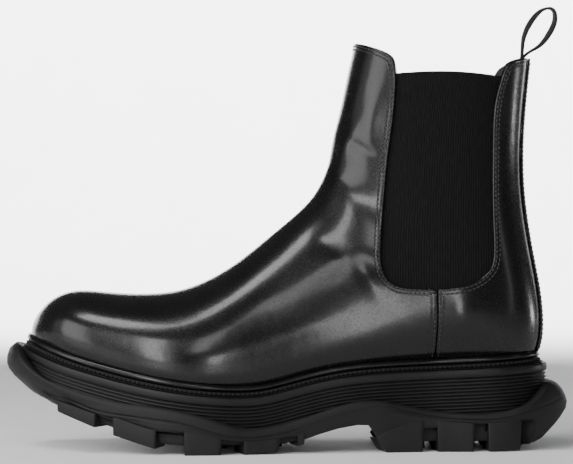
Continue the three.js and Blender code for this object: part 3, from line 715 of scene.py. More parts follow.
def polished_calf_leather():
    """Brushed-off calf, dyed through and waxed to a gloss: near-black with a hard, clear shine, pore grain
    that only breaks up the edges of highlights, and a pressed line beside the stitching. Real pores are
    0.2 mm apart and are drawn at 0.9 mm so that they show."""
    material, tree = new_material("polished_calf_leather")
    place = node(tree, COORDINATES, "Object")
    cloud = node(tree, NOISE, Vector=place, Scale=per(22), Detail=3)
    pores = node(tree, NOISE, Vector=place, Scale=per(0.9), Detail=4, Roughness=0.6)
    waves = node(tree, NOISE, Vector=place, Scale=per(14), Detail=2)
    colour = node(tree, RAMP, Fac=cloud, stops=((0.3, "#09090a"), (0.7, "#111112")))
    gloss = node(tree, RANGE, Value=pores, From_Min=0.3, From_Max=0.7, To_Min=0.19, To_Max=0.31)
    edge = node(tree, ATTRIBUTE, "Fac", {"attribute_name": "edge"})
    off_middle = node(tree, MATHS, settings={"operation": "SUBTRACT"}, n0=edge, n1=2.4)
    margin = node(tree, MATHS, settings={"operation": "ABSOLUTE"}, n0=off_middle)
    off_row = node(tree, MATHS, settings={"operation": "SUBTRACT"}, n0=margin, n1=1.0)
    furrow = node(tree, MATHS, settings={"operation": "ABSOLUTE"}, n0=off_row)
    pressed = node(tree, RANGE, Value=furrow, From_Min=0.0, From_Max=0.7, To_Min=0.0, To_Max=1.0)
    swell = node(tree, BUMP, Height=waves, Distance=0.35 * MM, Strength=0.5)
    grain = node(tree, BUMP, Height=pores, Distance=0.012 * MM, Strength=0.5, Normal=swell)
    normal = node(tree, BUMP, Height=pressed, Distance=0.25 * MM, Strength=0.6, Normal=grain)
    shader = node(tree, SHADER, Base_Color=colour, Roughness=gloss, Normal=normal, Specular_IOR_Level=0.3,
                  Coat_Weight=0.16, Coat_Roughness=0.12)
    node(tree, OUTPUT, Surface=shader)
    return material


def dyed_lining_leather():
    """Vegetable-tanned pigskin lining, dyed black and left unpolished: a soft, dull charcoal with open
    pores 1.6 mm apart and a little sheen where feet have rubbed it."""
    material, tree = new_material("dyed_lining_leather")
    place = node(tree, COORDINATES, "Object")
    pores = node(tree, CELLS, "Distance", Vector=place, Scale=per(1.6))
    cloud = node(tree, NOISE, Vector=place, Scale=per(16), Detail=3)
    colour = node(tree, RAMP, Fac=cloud, stops=((0.3, "#161515"), (0.7, "#232120")))
    gloss = node(tree, RANGE, Value=cloud, From_Min=0.3, From_Max=0.7, To_Min=0.5, To_Max=0.65)
    normal = node(tree, BUMP, Height=pores, Distance=0.12 * MM, Strength=0.5)
    shader = node(tree, SHADER, Base_Color=colour, Roughness=gloss, Normal=normal, Specular_IOR_Level=0.4)
    node(tree, OUTPUT, Surface=shader)
    return material


def ribbed_elastic_webbing():
    """Woven rubber-cored elastic: black and quite matt, with threads crossing its upright wales every
    0.8 mm and fine lint drawn out along them, so that it looks soft beside the leather."""
    material, tree = new_material("ribbed_elastic_webbing")
    place = node(tree, COORDINATES, "UV")
    threads = node(tree, WAVE, "Fac", {"wave_type": "BANDS", "bands_direction": "Y"}, Vector=place,
                   Scale=WAVE_TO_MM * per(0.8), Distortion=1.0)
    fluff = node(tree, NOISE, Vector=place, Scale=per(1.1), Detail=5, Roughness=0.7)
    drawn_out = node(tree, MAPPING, Vector=place, Scale=(1.0, 0.22, 1.0))
    streaks = node(tree, NOISE, Vector=drawn_out, Scale=per(1.3), Detail=3, Roughness=0.6)
    colour = node(tree, RAMP, Fac=streaks, stops=((0.3, "#0d0d0e"), (0.7, "#151516")))
    woven = node(tree, BUMP, Height=threads, Distance=0.08 * MM, Strength=0.4)
    normal = node(tree, BUMP, Height=fluff, Distance=0.15 * MM, Strength=0.5, Normal=woven)
    shader = node(tree, SHADER, Base_Color=colour, Normal=normal, Roughness=0.9, Specular_IOR_Level=0.12)
    node(tree, OUTPUT, Surface=shader)
    return material


def twisted_thread(name, space, pitch_mm, wander, dark, light, depth, strength, roughness, shine):
    """Polyester thread or twill ribbon: black, with slanting strands in relief whose raised crests are
    painted a lighter tone, a painted highlight standing for their glint along a row of stitches and for a
    faint diagonal on a ribbon's flat side."""
    material, tree = new_material(name)
    place = node(tree, COORDINATES, space)
    slant = node(tree, WAVE, "Fac", {"wave_type": "BANDS", "bands_direction": "DIAGONAL"}, Vector=place,
                 Scale=WAVE_TO_MM * per(pitch_mm), Distortion=wander)
    # painted highlight: the crests of the strands are coloured lighter than the black thread, as their glint
    colour = node(tree, RAMP, Fac=slant, stops=((0.2, dark), (0.8, light)))
    normal = node(tree, BUMP, Height=slant, Distance=depth * MM, Strength=strength)
    shader = node(tree, SHADER, Base_Color=colour, Normal=normal, Roughness=roughness,
                  Specular_IOR_Level=shine)
    node(tree, OUTPUT, Surface=shader)
    return material


def rubber(name, dark, light, gloss_low, gloss_high, grain_mm, grain_depth, shine=0.2):
    """Moulded black rubber: a matt to satin skin with the fine spark-eroded grain of its mould, drawn
    coarser than its real 0.1 mm so that it shows, and soft cloudy wear in its gloss."""
    material, tree = new_material(name)
    place = node(tree, COORDINATES, "Object")
    cloud = node(tree, NOISE, Vector=place, Scale=per(18), Detail=4, Roughness=0.55)
    grain = node(tree, NOISE, Vector=place, Scale=per(grain_mm), Detail=3, Roughness=0.6)
    colour = node(tree, RAMP, Fac=cloud, stops=((0.3, dark), (0.7, light)))
    gloss = node(tree, RANGE, Value=cloud, From_Min=0.3, From_Max=0.7, To_Min=gloss_low, To_Max=gloss_high)
    normal = node(tree, BUMP, Height=grain, Distance=grain_depth * MM, Strength=0.5)
    shader = node(tree, SHADER, Base_Color=colour, Roughness=gloss, Normal=normal, Specular_IOR_Level=shine)
    node(tree, OUTPUT, Surface=shader)
    return material


def fibre(name, dark, light, fleck_mm, stretch=(1.0, 1.0, 1.0)):
    """Pressed, spun or woven fibre: dull, with flecks of two tones as wide as its fibre bundles."""
    material, tree = new_material(name)
    place = node(tree, MAPPING, Vector=node(tree, COORDINATES, "Object"), Scale=stretch)
    flecks = node(tree, NOISE, Vector=place, Scale=per(fleck_mm), Detail=4, Roughness=0.65)
    colour = node(tree, RAMP, Fac=flecks, stops=((0.35, dark), (0.65, light)))
    normal = node(tree, BUMP, Height=flecks, Distance=0.2 * MM, Strength=0.6)
    shader = node(tree, SHADER, Base_Color=colour, Normal=normal, Roughness=0.9)
    node(tree, OUTPUT, Surface=shader)
    return material


def spring_steel():
    """Cold-rolled spring steel: grey metal, with the mill's fine lines along its length."""
    material, tree = new_material("spring_steel")
    place = node(tree, MAPPING, Vector=node(tree, COORDINATES, "Object"), Scale=(0.05, 1, 1))
    lines = node(tree, NOISE, Vector=place, Scale=per(0.4), Detail=3)
    colour = node(tree, RAMP, Fac=lines, stops=((0.3, "#85888c"), (0.7, "#a5a8ac")))
    gloss = node(tree, RANGE, Value=lines, From_Min=0.3, From_Max=0.7, To_Min=0.28, To_Max=0.45)
    shader = node(tree, SHADER, Base_Color=colour, Roughness=gloss, Metallic=1.0)
    node(tree, OUTPUT, Surface=shader)
    return material


FINISH_MAKERS = {
    "polished_calf_leather": polished_calf_leather,
    "dyed_lining_leather": dyed_lining_leather,
    "ribbed_elastic_webbing": ribbed_elastic_webbing,
    "spring_steel": spring_steel,
}
# Name: coordinates, width of a strand in mm, its wander, dark tone and the lighter tone of the painted
# glint,
#  depth in mm and strength of the relief, roughness and specular level.
THREADS = {
    "woven_ribbon": ("UV", 0.9, 0.6, "#0d0d0e", "#232325", 0.12, 0.6, 0.7, 0.2),
    "waxed_thread": ("Object", 0.5, 0.0, "#161617", "#2c2c2f", 0.08, 0.5, 0.38, 0.5),
}
# Name: dark and light tone, least and most roughness, grain width and depth in mm, and specular level.
RUBBERS = {
    "glossy_rand_rubber": ("#0b0b0c", "#121213", 0.2, 0.3, 0.8, 0.02, 0.35),
    # welt_rubber: black rubber set darker than the other rubbers, which also paints the shade in the groove
    # under the rand bead
    "welt_rubber": ("#060607", "#0b0b0c", 0.5, 0.65, 0.8, 0.05),
    "ribbed_midsole_rubber": ("#0f0f10", "#161617", 0.38, 0.52, 0.7, 0.06, 0.25),
    "moulded_tread_rubber": ("#131314", "#1b1b1c", 0.5, 0.64, 0.7, 0.08, 0.22),
}
# Name: dark and light tone, width of a fleck in mm, and how the flecks are squeezed on x, y and z.
FIBRES = {
    # rough_linen_thread: the welt stitches' near-black, darker than the upper's thread, partly paints the
    # shade of the groove they lie in
    "rough_linen_thread": ("#030303", "#0c0c0c", 0.6),
    "ribbon_tail_weave": ("#0d0d0e", "#1e1e20", 0.7),
    "thermoplastic_stiffener": ("#a39c8d", "#c7c0b2", 1.2),
    "cotton_interlining": ("#7d7a74", "#a09c95", 0.8, (1, 1, 4)),
    "cellulose_board": ("#96794f", "#b79c78", 1.5),
    "ground_cork": ("#7c5730", "#b08a58", 3.0),
    "latex_foam": ("#2c2c2e", "#48484b", 1.0),
}


def finish_of(name):
    """The material of that name, made the first time it is asked for."""
    if name in bpy.data.materials:
        return bpy.data.materials[name]
    for maker, looks in ((twisted_thread, THREADS), (rubber, RUBBERS), (fibre, FIBRES)):
        if name in looks:
            return maker(name, *looks[name])
    return FINISH_MAKERS[name]()


# ---- settings --------------------------------------------------------------------------------


def millimetres(name, meaning, default, low, high):
    meaning = f"{meaning} in millimetres"
    return FloatProperty(name=name, description=meaning, default=default, min=low, max=high)


class BootSizes(PropertyGroup):
    leather: millimetres("Leather", "Thickness of vamp and quarters", 1.8, 1.0, 3.0)
    edge_radius: millimetres("Edge radius", "Rounding of cut leather edges", 0.8, 0.3, 1.2)
    wale_pitch: millimetres("Wale pitch", "Distance between the elastic's upright ribs", 1.25, 0.8, 3.0)
    stitch_pitch: millimetres("Stitch pitch", "Distance between upper stitches", 2.6, 1.5, 5.0)
    welt_pitch: millimetres("Welt stitch pitch", "Distance between welt stitches", 2.7, 2.0, 6.0)
    groove_pitch: millimetres("Groove pitch", "Distance between midsole grooves", 1.92, 1.5, 4.0)
    floor_colour: FloatVectorProperty(
        name="Floor", description="Colour of the studio floor", subtype="COLOR", size=4,
        default=(0.94, 0.94, 0.94, 1.0),
    )


def sizes():
    return bpy.context.scene.boot_sizes


BACKING_DEPTH = 2.1
BACKING = 1.0
LINING_DEPTH = 3.4
WALL = 4.4
FINE, COARSE = (250, 210), (150, 120)
_uppers = {}


def upper_at(fineness):
    if fineness not in _uppers:
        _uppers[fineness] = Upper(*fineness)
    return _uppers[fineness]


def field_of(pattern, *limits):
    """Distance inside a side-view pattern, and inside each further limit, a function of the points."""
    def field(points):
        distance = signed_distance(points[..., [0, 2]], pattern)
        for limit in limits:
            distance = np.minimum(distance, limit(points))
        return distance
    return field


def beside_heel(side, gap=0.15):
    return lambda points: points[..., 1] * side - gap


def collar_thickness(points):
    """Leather thickness, and near the topline the folded edge's, which covers the lining's edge."""
    fold, fold_from, fold_to = 1.45, 212.5, 216
    return sizes().leather + fold * ease(points[..., 2], fold_from, fold_to)


# ---- operators: the upper --------------------------------------------------------------------


class BOOT_OT_vamp(Operator):
    """Front leather panel"""

    bl_idname = "boot.vamp"
    bl_label = "Vamp"

    def execute(self, context):
        field = field_of(vamp_pattern())
        points, faces, edge = panel(upper_at(FINE), field, sizes().edge_radius, collar_thickness)
        make_piece("vamp_leather", points, faces, "polished_calf_leather", replaces=["vamp"], edge=edge)
        return {"FINISHED"}


class BOOT_OT_quarters(Operator):
    """Heel leather panels, outer and inner"""

    bl_idname = "boot.quarters"
    bl_label = "Quarters"

    def execute(self, context):
        for name, side in (("outer", OUTER), ("inner", INNER)):
            field = field_of(quarter_pattern(), beside_heel(side))
            points, faces, edge = panel(upper_at(FINE), field, sizes().edge_radius, collar_thickness)
            make_piece(f"quarter_{name}_leather", points, faces, "polished_calf_leather",
                       replaces=[f"quarter_{name}"], edge=edge)
        return {"FINISHED"}


class BOOT_OT_back_strap(Operator):
    """Leather strip over the heel seam"""

    bl_idname = "boot.back_strap"
    bl_label = "Back strap"

    def execute(self, context):
        half, rim, thick, outside, behind = 8.5, 0.5, 1.3, 1.5, 100
        pattern = quarter_pattern(below=-0.5)
        field = field_of(pattern, lambda points: half - np.abs(points[..., 1]),
                         lambda points: points[..., 0] - behind)
        points, faces, edge = panel(upper_at(FINE), field, rim, thick, depth=-outside)
        make_piece("back_strap_leather", points, faces, "polished_calf_leather", replaces=["back_strap"],
                   edge=edge)
        return {"FINISHED"}


class BOOT_OT_elastic(Operator):
    """Elastic side panels with their upright wales"""

    bl_idname = "boot.elastic"
    bl_label = "Elastic"

    def execute(self, context):
        uprights = (WINDOW_FRONT[5:12], WINDOW_REAR[5:10])
        front, rear = (curve_through(np.array(edge)[:, ::-1]) for edge in uprights)
        overlap, foot = 4.5, 87.0
        for name, side in (("outer", OUTER), ("inner", INNER)):
            points, faces, uv = elastic_panel(front, rear, overlap, foot, side)
            make_piece(f"gore_{name}_elastic", points, faces, "ribbed_elastic_webbing",
                       replaces=[f"gore_{name}"], uv=uv)
        return {"FINISHED"}


def elastic_panel(front, rear, overlap, foot, side):
    """Closed sheet over a side-view grid. Across, the width is shared evenly between the window's two
    edges; up, from foot to the elastic's top. Its outer face carries wales 0.13*cos(turn) deep, one turn
    a wale, and rolls over at the top by a quarter circle."""
    width, head, straight_from, straight_to = 62, 211, 106, 206
    wales = int(width / sizes().wale_pitch)
    across = np.linspace(0, 1, wales * 6 + 1)
    up = np.concatenate([np.linspace(0, 0.985, 60), 1 - 0.015 * np.cos(np.linspace(0.3, np.pi / 2, 5))])
    up_grid, across_grid = np.meshgrid(up, across, indexing="ij")
    held = np.clip(foot + (head - foot) * up_grid, straight_from, straight_to)
    x = front(held) - overlap + (rear(held) - front(held) + 2 * overlap) * across_grid
    z = foot + (ELASTIC_TOP(x) - foot) * up_grid
    s, angle = side_place(x, z, side)
    wale = 0.13 * np.cos(TAU * wales * across_grid)
    top_round = 0.45 * ease(z, ELASTIC_TOP(x) - 0.9, ELASTIC_TOP(x)) ** 2
    sag = 0.5 * np.sin(np.pi * across_grid) * ease(z, 90, 120)
    outer = surface(s, angle, BACKING_DEPTH + sag - wale + top_round)
    inner = surface(s, angle, BACKING_DEPTH + BACKING + sag + 0.5 * wale - top_round)
    faces = sheet_faces(*x.shape)
    points = np.vstack([outer.reshape(-1, 3), inner.reshape(-1, 3)])
    uv = np.stack([x, z], axis=-1).reshape(-1, 2)
    return points, [faces if side == OUTER else turned(faces)], np.vstack([uv, uv])


class BOOT_OT_linings(Operator):
    """Leather linings and the fabric backing of the vamp"""

    bl_idname = "boot.linings"
    bl_label = "Linings"

    def execute(self, context):
        coarse = upper_at(COARSE)
        front = field_of(vamp_pattern(below=6.5))
        rear = field_of(quarter_pattern(below=6.5))
        for name, field in (("vamp_lining", front), ("quarter_lining", rear)):
            points, faces, edge = panel(coarse, lambda p: field(p) - 0.4, 0.4, 1.0, depth=LINING_DEPTH)
            make_piece(f"{name}_leather", points, faces, "dyed_lining_leather", replaces=[name], edge=edge)
        puff_end, keep_off = -91.7, 11.0
        backed = field_of(vamp_pattern(below=6.5), lambda p: p[..., 0] - puff_end,
                          lambda p: front(p) - keep_off * ease(p[..., 2], 84, 90))
        points, faces, edge = panel(coarse, backed, 0.3, BACKING, depth=BACKING_DEPTH)
        make_piece("vamp_backing_cloth", points, faces, "cotton_interlining",
                   replaces=["vamp_interlining"], edge=edge)
        return {"FINISHED"}


class BOOT_OT_stitches(Operator):
    """Two rows of stitches along the window, collar and side seam edges, and one row on each strap edge"""

    bl_idname = "boot.stitches"
    bl_label = "Upper stitches"

    def execute(self, context):
        rows = []
        upper = upper_at(COARSE)
        quarters = field_of(quarter_pattern(), beside_heel(OUTER, -20))
        panels = [(field_of(vamp_pattern()), (-FAR, 86)), (quarters, (82, 132))]
        for field, (low, high) in panels:
            for distance in (1.5, 3.4):
                lowest = 0 if distance < 2 else 86.9
                for s, angle in contour(upper, field, distance):
                    rows += stitch_runs(s, angle, low, high, lowest)
        stitch_piece("upper_stitches", rows)
        strap_rows = []
        for side in (OUTER, INNER):
            strap_rows.append(strap_stitches(side))
        stitch_piece("strap_stitches", strap_rows)
        return {"FINISHED"}


def stitch_runs(s, angle, low, high, lowest):
    """The stretches of a contour that are sewn: above the sole and clear of the heel seam."""
    points = surface(s, angle)
    normals = surface_normal(s, angle)
    sewn = (points[:, 2] > np.maximum(feather(points[:, 0]) + 1.0, lowest))
    sewn &= (points[:, 0] > max(low, 20)) & (points[:, 0] < high)
    if sewn.all():
        starts = [0]
    else:
        first = int(np.argmin(sewn))
        points, normals, sewn = (np.roll(a, -first, axis=0) for a in (points, normals, sewn))
        starts = np.flatnonzero(sewn & ~np.roll(sewn, 1))
    runs = []
    for start in starts:
        stop = start + (int(np.argmin(sewn[start:])) if not sewn[start:].all() else len(sewn) - start)
        if stop - start > 3:
            runs.append(stitch_row(points[start:stop], normals[start:stop], pitch=sizes().stitch_pitch))
    return runs


def strap_stitches(side):
    """One row near each edge of the strap, the same distance from the heel seam all the way up."""
    reach, outside = 7.0, 1.5
    z = np.linspace(feather(140) + 2, 219, 160)
    s, angle = strap_place(z, reach, side)
    return stitch_row(surface(s, angle, -outside), surface_normal(s, angle), pitch=sizes().stitch_pitch)


def strap_place(height, reach, side):
    """Rib and angle of the points at given heights on the heel whose y is reach from the seam, by halving
    the turn from the heel seam and, for each turn, the rib."""
    a_low, a_high = np.zeros(len(height)), np.full(len(height), 1.2)
    for _ in range(20):
        turn = (a_low + a_high) / 2
        low, high = np.full(len(height), 200.0), np.full(len(height), LAST_END)
        for _ in range(20):
            s = (low + high) / 2
            under = bare_surface(s, np.pi + side * turn)[..., 2] < height
            low, high = np.where(under, s, low), np.where(under, high, s)
        near = np.abs(bare_surface(low, np.pi + side * turn)[..., 1]) < reach
        a_low, a_high = np.where(near, turn, a_low), np.where(near, a_high, turn)
    return low, np.pi + side * a_low


# ---- operators: the sole ---------------------------------------------------------------------


class BOOT_OT_rand_and_welt(Operator):
    """Glossy bead along the feather line, and the stitched welt under it"""

    bl_idname = "boot.rand_and_welt"
    bl_label = "Rand and welt"

    def execute(self, context):
        top = feather(PATH[:, 0])
        turn = np.linspace(-0.2, np.pi + 0.25, 11)
        bead = [(RAND_REACH - 1.4 + 1.6 * np.sin(b), 1.15 - 1.75 * np.cos(b)) for b in turn]
        n, z = strip_profile([(-1.5, -0.4), *bead, (-1.5, 2.9)], top)
        points, faces = swept(n, z)
        make_piece("rand_bead", points, [faces], "glossy_rand_rubber", replaces=["rand"])
        welt = [(-2, 3.1), (1.7, 3.1), (1.9, 3.4), (1.9, 4.7), (2.4, 5.1), (4.1, 5.2), (4.4, 5.4),
                (4.4, 5.6), (-2, 5.6)]
        n, z = strip_profile(welt, top)
        points, faces = swept(n, z)
        # the welt strip's near-black is its own black, partly deepened as painted shade of the groove under
        # the bead
        make_piece("welt_strip", points, [faces], "welt_rubber", replaces=["welt"])
        path = np.column_stack([outline_points(2.3), top - 4.3])
        out = np.column_stack([PATH_OUT, np.full(len(PATH), 0.5)])
        path, out = (np.vstack([line, line[:1]]) for line in (path, out))
        row = stitch_row(path, out, sizes().welt_pitch, length=2.6, radius=0.8, sink=0.3)
        # the welt stitches are coloured near-black, partly as painted shade of the groove under the bead
        stitch_piece("welt_stitches", [row], "rough_linen_thread")
        return {"FINISHED"}


class BOOT_OT_midsole(Operator):
    """Middle sole: satin rim, then grooves all the way round"""

    bl_idname = "boot.midsole"
    bl_label = "Midsole"

    def execute(self, context):
        make_piece("midsole_body", *midsole_mesh(), "ribbed_midsole_rubber", replaces=["midsole"])
        return {"FINISHED"}


CUP_FLOOR = curve_through([
    (-154, 48), (-130, 31.5), (-107, 21.5), (-80, 13.5), (-57, 11), (-10, 11),
    (12, 14), (35, 20), (55, 20), (85, 17), (125, 17), (154, 28),
])


def midsole_top(x):
    return feather(x) - LASTED_DEPTH - 0.3


def midsole_mesh():
    """Wall of the middle sole with a rim 4.9 mm high, then grooves one pitch apart: each is a half round
    1.3 mm deep with a flat land. Rows that would pass the cup's floor are stacked just above it. Top
    and bottom close on the boot's middle line."""
    x = PATH[:, 0]
    top = midsole_top(x)
    pitch = sizes().groove_pitch
    rim = [(5.6, 0.0), (6.2, 0.12), (6.5, 0.5), (6.62, 1.5), (6.6, 3.0), (6.4, 4.2), (6.0, 4.7)]
    groove = [(0.0, 5.0), (0.14, 4.8), (0.3, 6.05), (0.5, 6.28), (0.8, 6.25)]
    backwards = np.clip(PATH_OUT[:, 0], 0, 1) ** 3
    n_rows = [np.full(len(x), n) for n, _ in rim]
    drops = [np.full(len(x), d) for _, d in rim]
    count = 14
    for k in range(count):
        for share, n in groove:
            n_rows.append(n + 0.33 * k * backwards)
            drops.append(np.full(len(x), 4.9 + pitch * (k + share)))
    n_rows.append(n_rows[-1] - 1.0)
    drops.append(drops[-1] + 0.3)
    drop = np.stack(drops, axis=1)
    deepest = (top - CUP_FLOOR(x))[:, None] - 0.03 * np.arange(drop.shape[1], 0, -1)
    wall = wall_points(np.stack(n_rows, axis=1), top[:, None] - np.minimum(drop, deepest))
    upper_cap = cap_rows(wall[:, 0], midsole_top)
    return closed_shell(upper_cap[:, ::-1], wall, cap_rows(wall[:, -1], CUP_FLOOR))


SPINE_END, SPINE_STEP = 104, 2.0


def spine(x):
    """Points of the boot's middle line: x held inside its ends, y halfway between the upper's sides."""
    x = np.clip(x, -SPINE_END, SPINE_END)
    return np.column_stack([x, (side_face(x, feather(x), OUTER) + side_face(x, feather(x), INNER)) / 2])


def cap_rows(rim, height_at, rows=9):
    """Rows of points from a closed rim to the middle line, with their height from a curve along the boot;
    the first rows keep part of the rim's own height. On the middle line both halves end in the same
    evenly spaced points, so that they close."""
    share = np.linspace(0, 1, rows + 1)[1:]
    middle = spine(np.round(rim[:, 0] / SPINE_STEP) * SPINE_STEP)
    xy = rim[:, None, :2] + (middle[:, None] - rim[:, None, :2]) * share[None, :, None]
    step = rim[:, 2] - height_at(rim[:, 0])
    z = height_at(xy[..., 0]) + step[:, None] * (1 - share) ** 6
    return np.concatenate([xy, z[..., None]], axis=-1)


def closed_shell(first_cap, wall, last_cap):
    """One grid of rows from the middle line over a cap, down the wall and back over the other cap. The
    two halves of each cap meet on the middle line, where their points are merged."""
    grid = np.concatenate([first_cap, wall, last_cap], axis=1)
    rows, columns = grid.shape[:2]
    points = grid.reshape(-1, 3)
    faces = grid_faces(rows, columns, wrap_rows=True)
    keys = np.round(points / 0.02).astype(np.int64)
    _, first, inverse = np.unique(keys, axis=0, return_index=True, return_inverse=True)
    faces = inverse.reshape(-1)[faces]
    return points[first], clean_faces(faces)


def clean_faces(quads):
    """Quads with a doubled corner become triangles, and those with fewer than three corners go."""
    doubled = np.stack([quads[:, i] == quads[:, (i + 1) % 4] for i in range(4)], axis=1)
    whole = quads[~doubled.any(axis=1)]
    corner = doubled.argmax(axis=1)
    once = quads[doubled.sum(axis=1) == 1]
    at = corner[doubled.sum(axis=1) == 1]
    keep = (at[:, None] + np.array([1, 2, 3])) % 4
    triangles = np.take_along_axis(once, keep, axis=1)
    whole = whole[(whole[:, 0] != whole[:, 2]) & (whole[:, 1] != whole[:, 3])]
    return [whole, triangles]


# Curves of the outsole along the boot, seen from the side.
SKIRT_TOP = curve_through([
    (-160, 59.6), (-156.5, 57.6), (-152.6, 53.6), (-147, 47.8), (-139, 41.4), (-130, 37.4), (-115, 33.2),
    (-97, 29.1), (-79.5, 27.2), (-65.4, 25.4), (-45.4, 21.2), (-30, 16.6), (-20.3, 14.8), (-2, 16.4),
    (16.5, 22), (33.4, 27.3), (44, 29.1), (59.2, 27.7), (75, 24.4), (89.3, 22.2), (100, 21.6),
    (118, 22), (131.9, 24.8), (141.4, 29.1), (148.8, 34.5), (155, 37.8), (160, 38.4),
])
RIDGE = curve_through([
    (-160, 50), (-150, 41), (-135, 33), (-118, 27.7), (-108, 24.4), (-94, 22), (-72, 19.5),
    (-58, 17.6), (-44, 13.6), (-30, 10.2), (-19, 9.4), (-5.5, 10.6), (10, 14.5), (30, 21), (45, 24.6),
    (57, 24.4), (75, 20.8), (89, 18.8), (107, 17.8), (122, 18.7), (137.5, 22.9), (149.7, 27.1), (160, 31),
])
UNDERSIDE = np.array([
    (-160, 44), (-156, 39.9), (-149, 34.2), (-142.4, 29.4), (-137, 27.6), (-131.5, 25), (-104.6, 16.2),
    (-97, 13.6), (-71.4, 6.2), (-57, 5.2), (-10, 5.2), (0, 5.4), (9, 7.2), (19.3, 10.8), (29.8, 13.8),
    (40, 15.5), (46.1, 15.3), (52.4, 5.6), (60, 5.6), (126, 5.6), (133, 5.2),
    (139.7, 2.6), (144, 4.4), (147.6, 7.9), (153.7, 14.4), (160, 23),
])
WINDOW_TOP = np.array([
    (-150, 37), (-130, 30), (-105, 21.8), (-98, 20.6), (-71, 13.2), (-57, 12.8), (-35, 8.4), (-22, 8),
    (-3, 9.6), (6, 9.8), (66, 12.6), (76, 13.2), (85, 13.6), (104, 17), (113, 17), (130, 17.2), (150, 18),
])
PAD_TOP = curve_through([
    (-150, 38), (-130, 31), (-105, 22.6), (-98, 21.4), (-71, 14), (-57, 13.6), (-35, 9.2), (-22, 8.8),
    (-3, 10.4), (20, 10.5), (46, 5), (56, 8.5), (60, 12.2), (64, 14.9), (70, 16.9), (77, 17.6), (90, 17.6),
    (104, 17.6), (114, 17.6), (130, 17.8),
])


def profile_columns(profile):
    """Reach and height of a profile's points as two grids, one column for each point."""
    return (np.stack(numbers, axis=1) for numbers in zip(*profile))


def underside(x):
    return np.interp(x, *UNDERSIDE.T)


class BOOT_OT_outsole(Operator):
    """Rubber cup with its wavy skirt, ridge line, toe bumper and heel kick"""

    bl_idname = "boot.outsole"
    bl_label = "Outsole"

    def execute(self, context):
        make_piece("outsole_cup", *outsole_mesh(), "moulded_tread_rubber", replaces=["outsole"])
        make_piece("outsole_lugs", *joined(lug_blocks()), "moulded_tread_rubber")
        return {"FINISHED"}


def end_shares():
    """How much each path point belongs to the toe's and the heel's end: the outward x to a power."""
    return np.clip(-PATH_OUT[:, 0], 0, 1) ** 2.2, np.clip(PATH_OUT[:, 0], 0, 1) ** 2.2


# Outlines of the toe bumper and the heel kick in side view, as height and x, from underneath upwards.
TOE_LINE = np.array([
    (27.5, -138.5), (28.2, -140.2), (34, -148), (39.9, -154.8), (43.4, -158.3), (47.6, -160), (51.8, -160),
    (56.6, -158.3), (59.4, -155),
])
HEEL_LINE = np.array([
    (2.4, 139.7), (4.4, 144), (7.9, 147.6), (14.4, 153.7), (21, 158.5), (24.6, 160), (27, 159.8),
    (29.7, 158.9), (33.5, 157), (36.3, 154.6), (37.9, 152), (38.4, 150),
])
TOE_FOOT, HEEL_FOOT = 29.4, 4.4
LEAST_FALL = 0.03


def outsole_mesh():
    """Wall profile at each path point from the pocket's lip over the skirt, the ridge line and the window
    recess to the underside; reach and height follow the side-view curves. Towards the toe and heel ends
    the reach is blended into the end outlines by how squarely the path faces that way."""
    toe_share, heel_share = end_shares()
    tip, back = PATH[:, 0].min(), PATH[:, 0].max()
    rim_x = PATH[:, 0] + PATH_OUT[:, 0] * SKIRT_REACH
    toe_x = toe_share * (-SOLE_LENGTH / 2 - rim_x.min())
    heel_x = heel_share * (SOLE_LENGTH / 2 - rim_x.max())
    rim_x = rim_x + toe_x + heel_x
    top, ridge = SKIRT_TOP(rim_x), RIDGE(rim_x)
    floor = underside(rim_x)
    floor = floor + (TOE_FOOT - floor) * toe_share**2 + (HEEL_FOOT - floor) * heel_share**2
    window = np.minimum(np.interp(rim_x, *WINDOW_TOP.T), ridge - 2.2)
    window = np.maximum(window, floor + 1.6)
    line = 0.75 * (1 - ease(rim_x, 2, 12) * (1 - ease(rim_x, 52, 66))) * (1 - toe_share)
    one = np.ones(len(PATH))
    recess = (1 - ease(rim_x, 6, 9)) + ease(rim_x, 58, 60) * (1 - ease(rim_x, 139.6, 141))
    recess = recess * ease(rim_x, -132, -128) * (1 + 1.4 * ease(rim_x, 122, 131))
    drop = top - ridge
    profile = [
        (6.75 * one, top - 4), (6.8 * one, top - 0.7), (7.1 * one, top - 0.2), (7.8 * one, top),
        (8.7 * one, top - 0.3), (9.4 * one, top - 0.9), (9.85 * one, top - 1.8), (10 * one, top - 3),
        (10.05 * one, top - 3 - (drop - 4.1) * 0.33), (10.05 * one, top - 3 - (drop - 4.1) * 0.66),
        (10.05 * one, ridge + 1.1), (10 * one, ridge + 0.5), (9.85 - 0.5 * line, ridge + 0.1),
        (9.85 - line, ridge - 0.3), (9.85 - 0.6 * line, ridge - 0.8), (9.8 * one, ridge - 1.4),
        (9.75 * one, (2 * ridge + window) / 3), (9.72 * one, (ridge + 2 * window) / 3),
        (9.7 * one, window + 0.2), (9.65 - 0.2 * recess, window),
        (9.6 - 4.0 * recess, window - 0.4), (9.6 - 4.4 * recess, (2 * window + floor) / 3),
        (9.6 - 4.5 * recess, (window + 2 * floor) / 3), (9.5 - 4.5 * recess, floor + 0.7),
        (9.1 - 4.5 * recess, floor + 0.15), (8.2 - 4.2 * recess, floor),
    ]
    n, z = profile_columns(profile)
    fall = LEAST_FALL * np.arange(z.shape[1] - 3)
    z[:, 3:] = np.minimum.accumulate(z[:, 3:] + fall, axis=1) - fall
    n_toe = tip - np.interp(z, *TOE_LINE.T)
    n_heel = np.interp(z, *HEEL_LINE.T) - back
    lip = np.clip((np.arange(n.shape[1]) - 2) / 2, 0, 1)
    n = n + (n_toe - n) * toe_share[:, None] * lip + (n_heel - n) * heel_share[:, None] * lip
    wall = wall_points(n, z)
    pocket = cap_rows(wall[:, 0], lambda x: CUP_FLOOR(x) - 0.3)
    under = cap_rows(wall[:, -1], underside)
    return closed_shell(pocket[:, ::-1], wall, under)


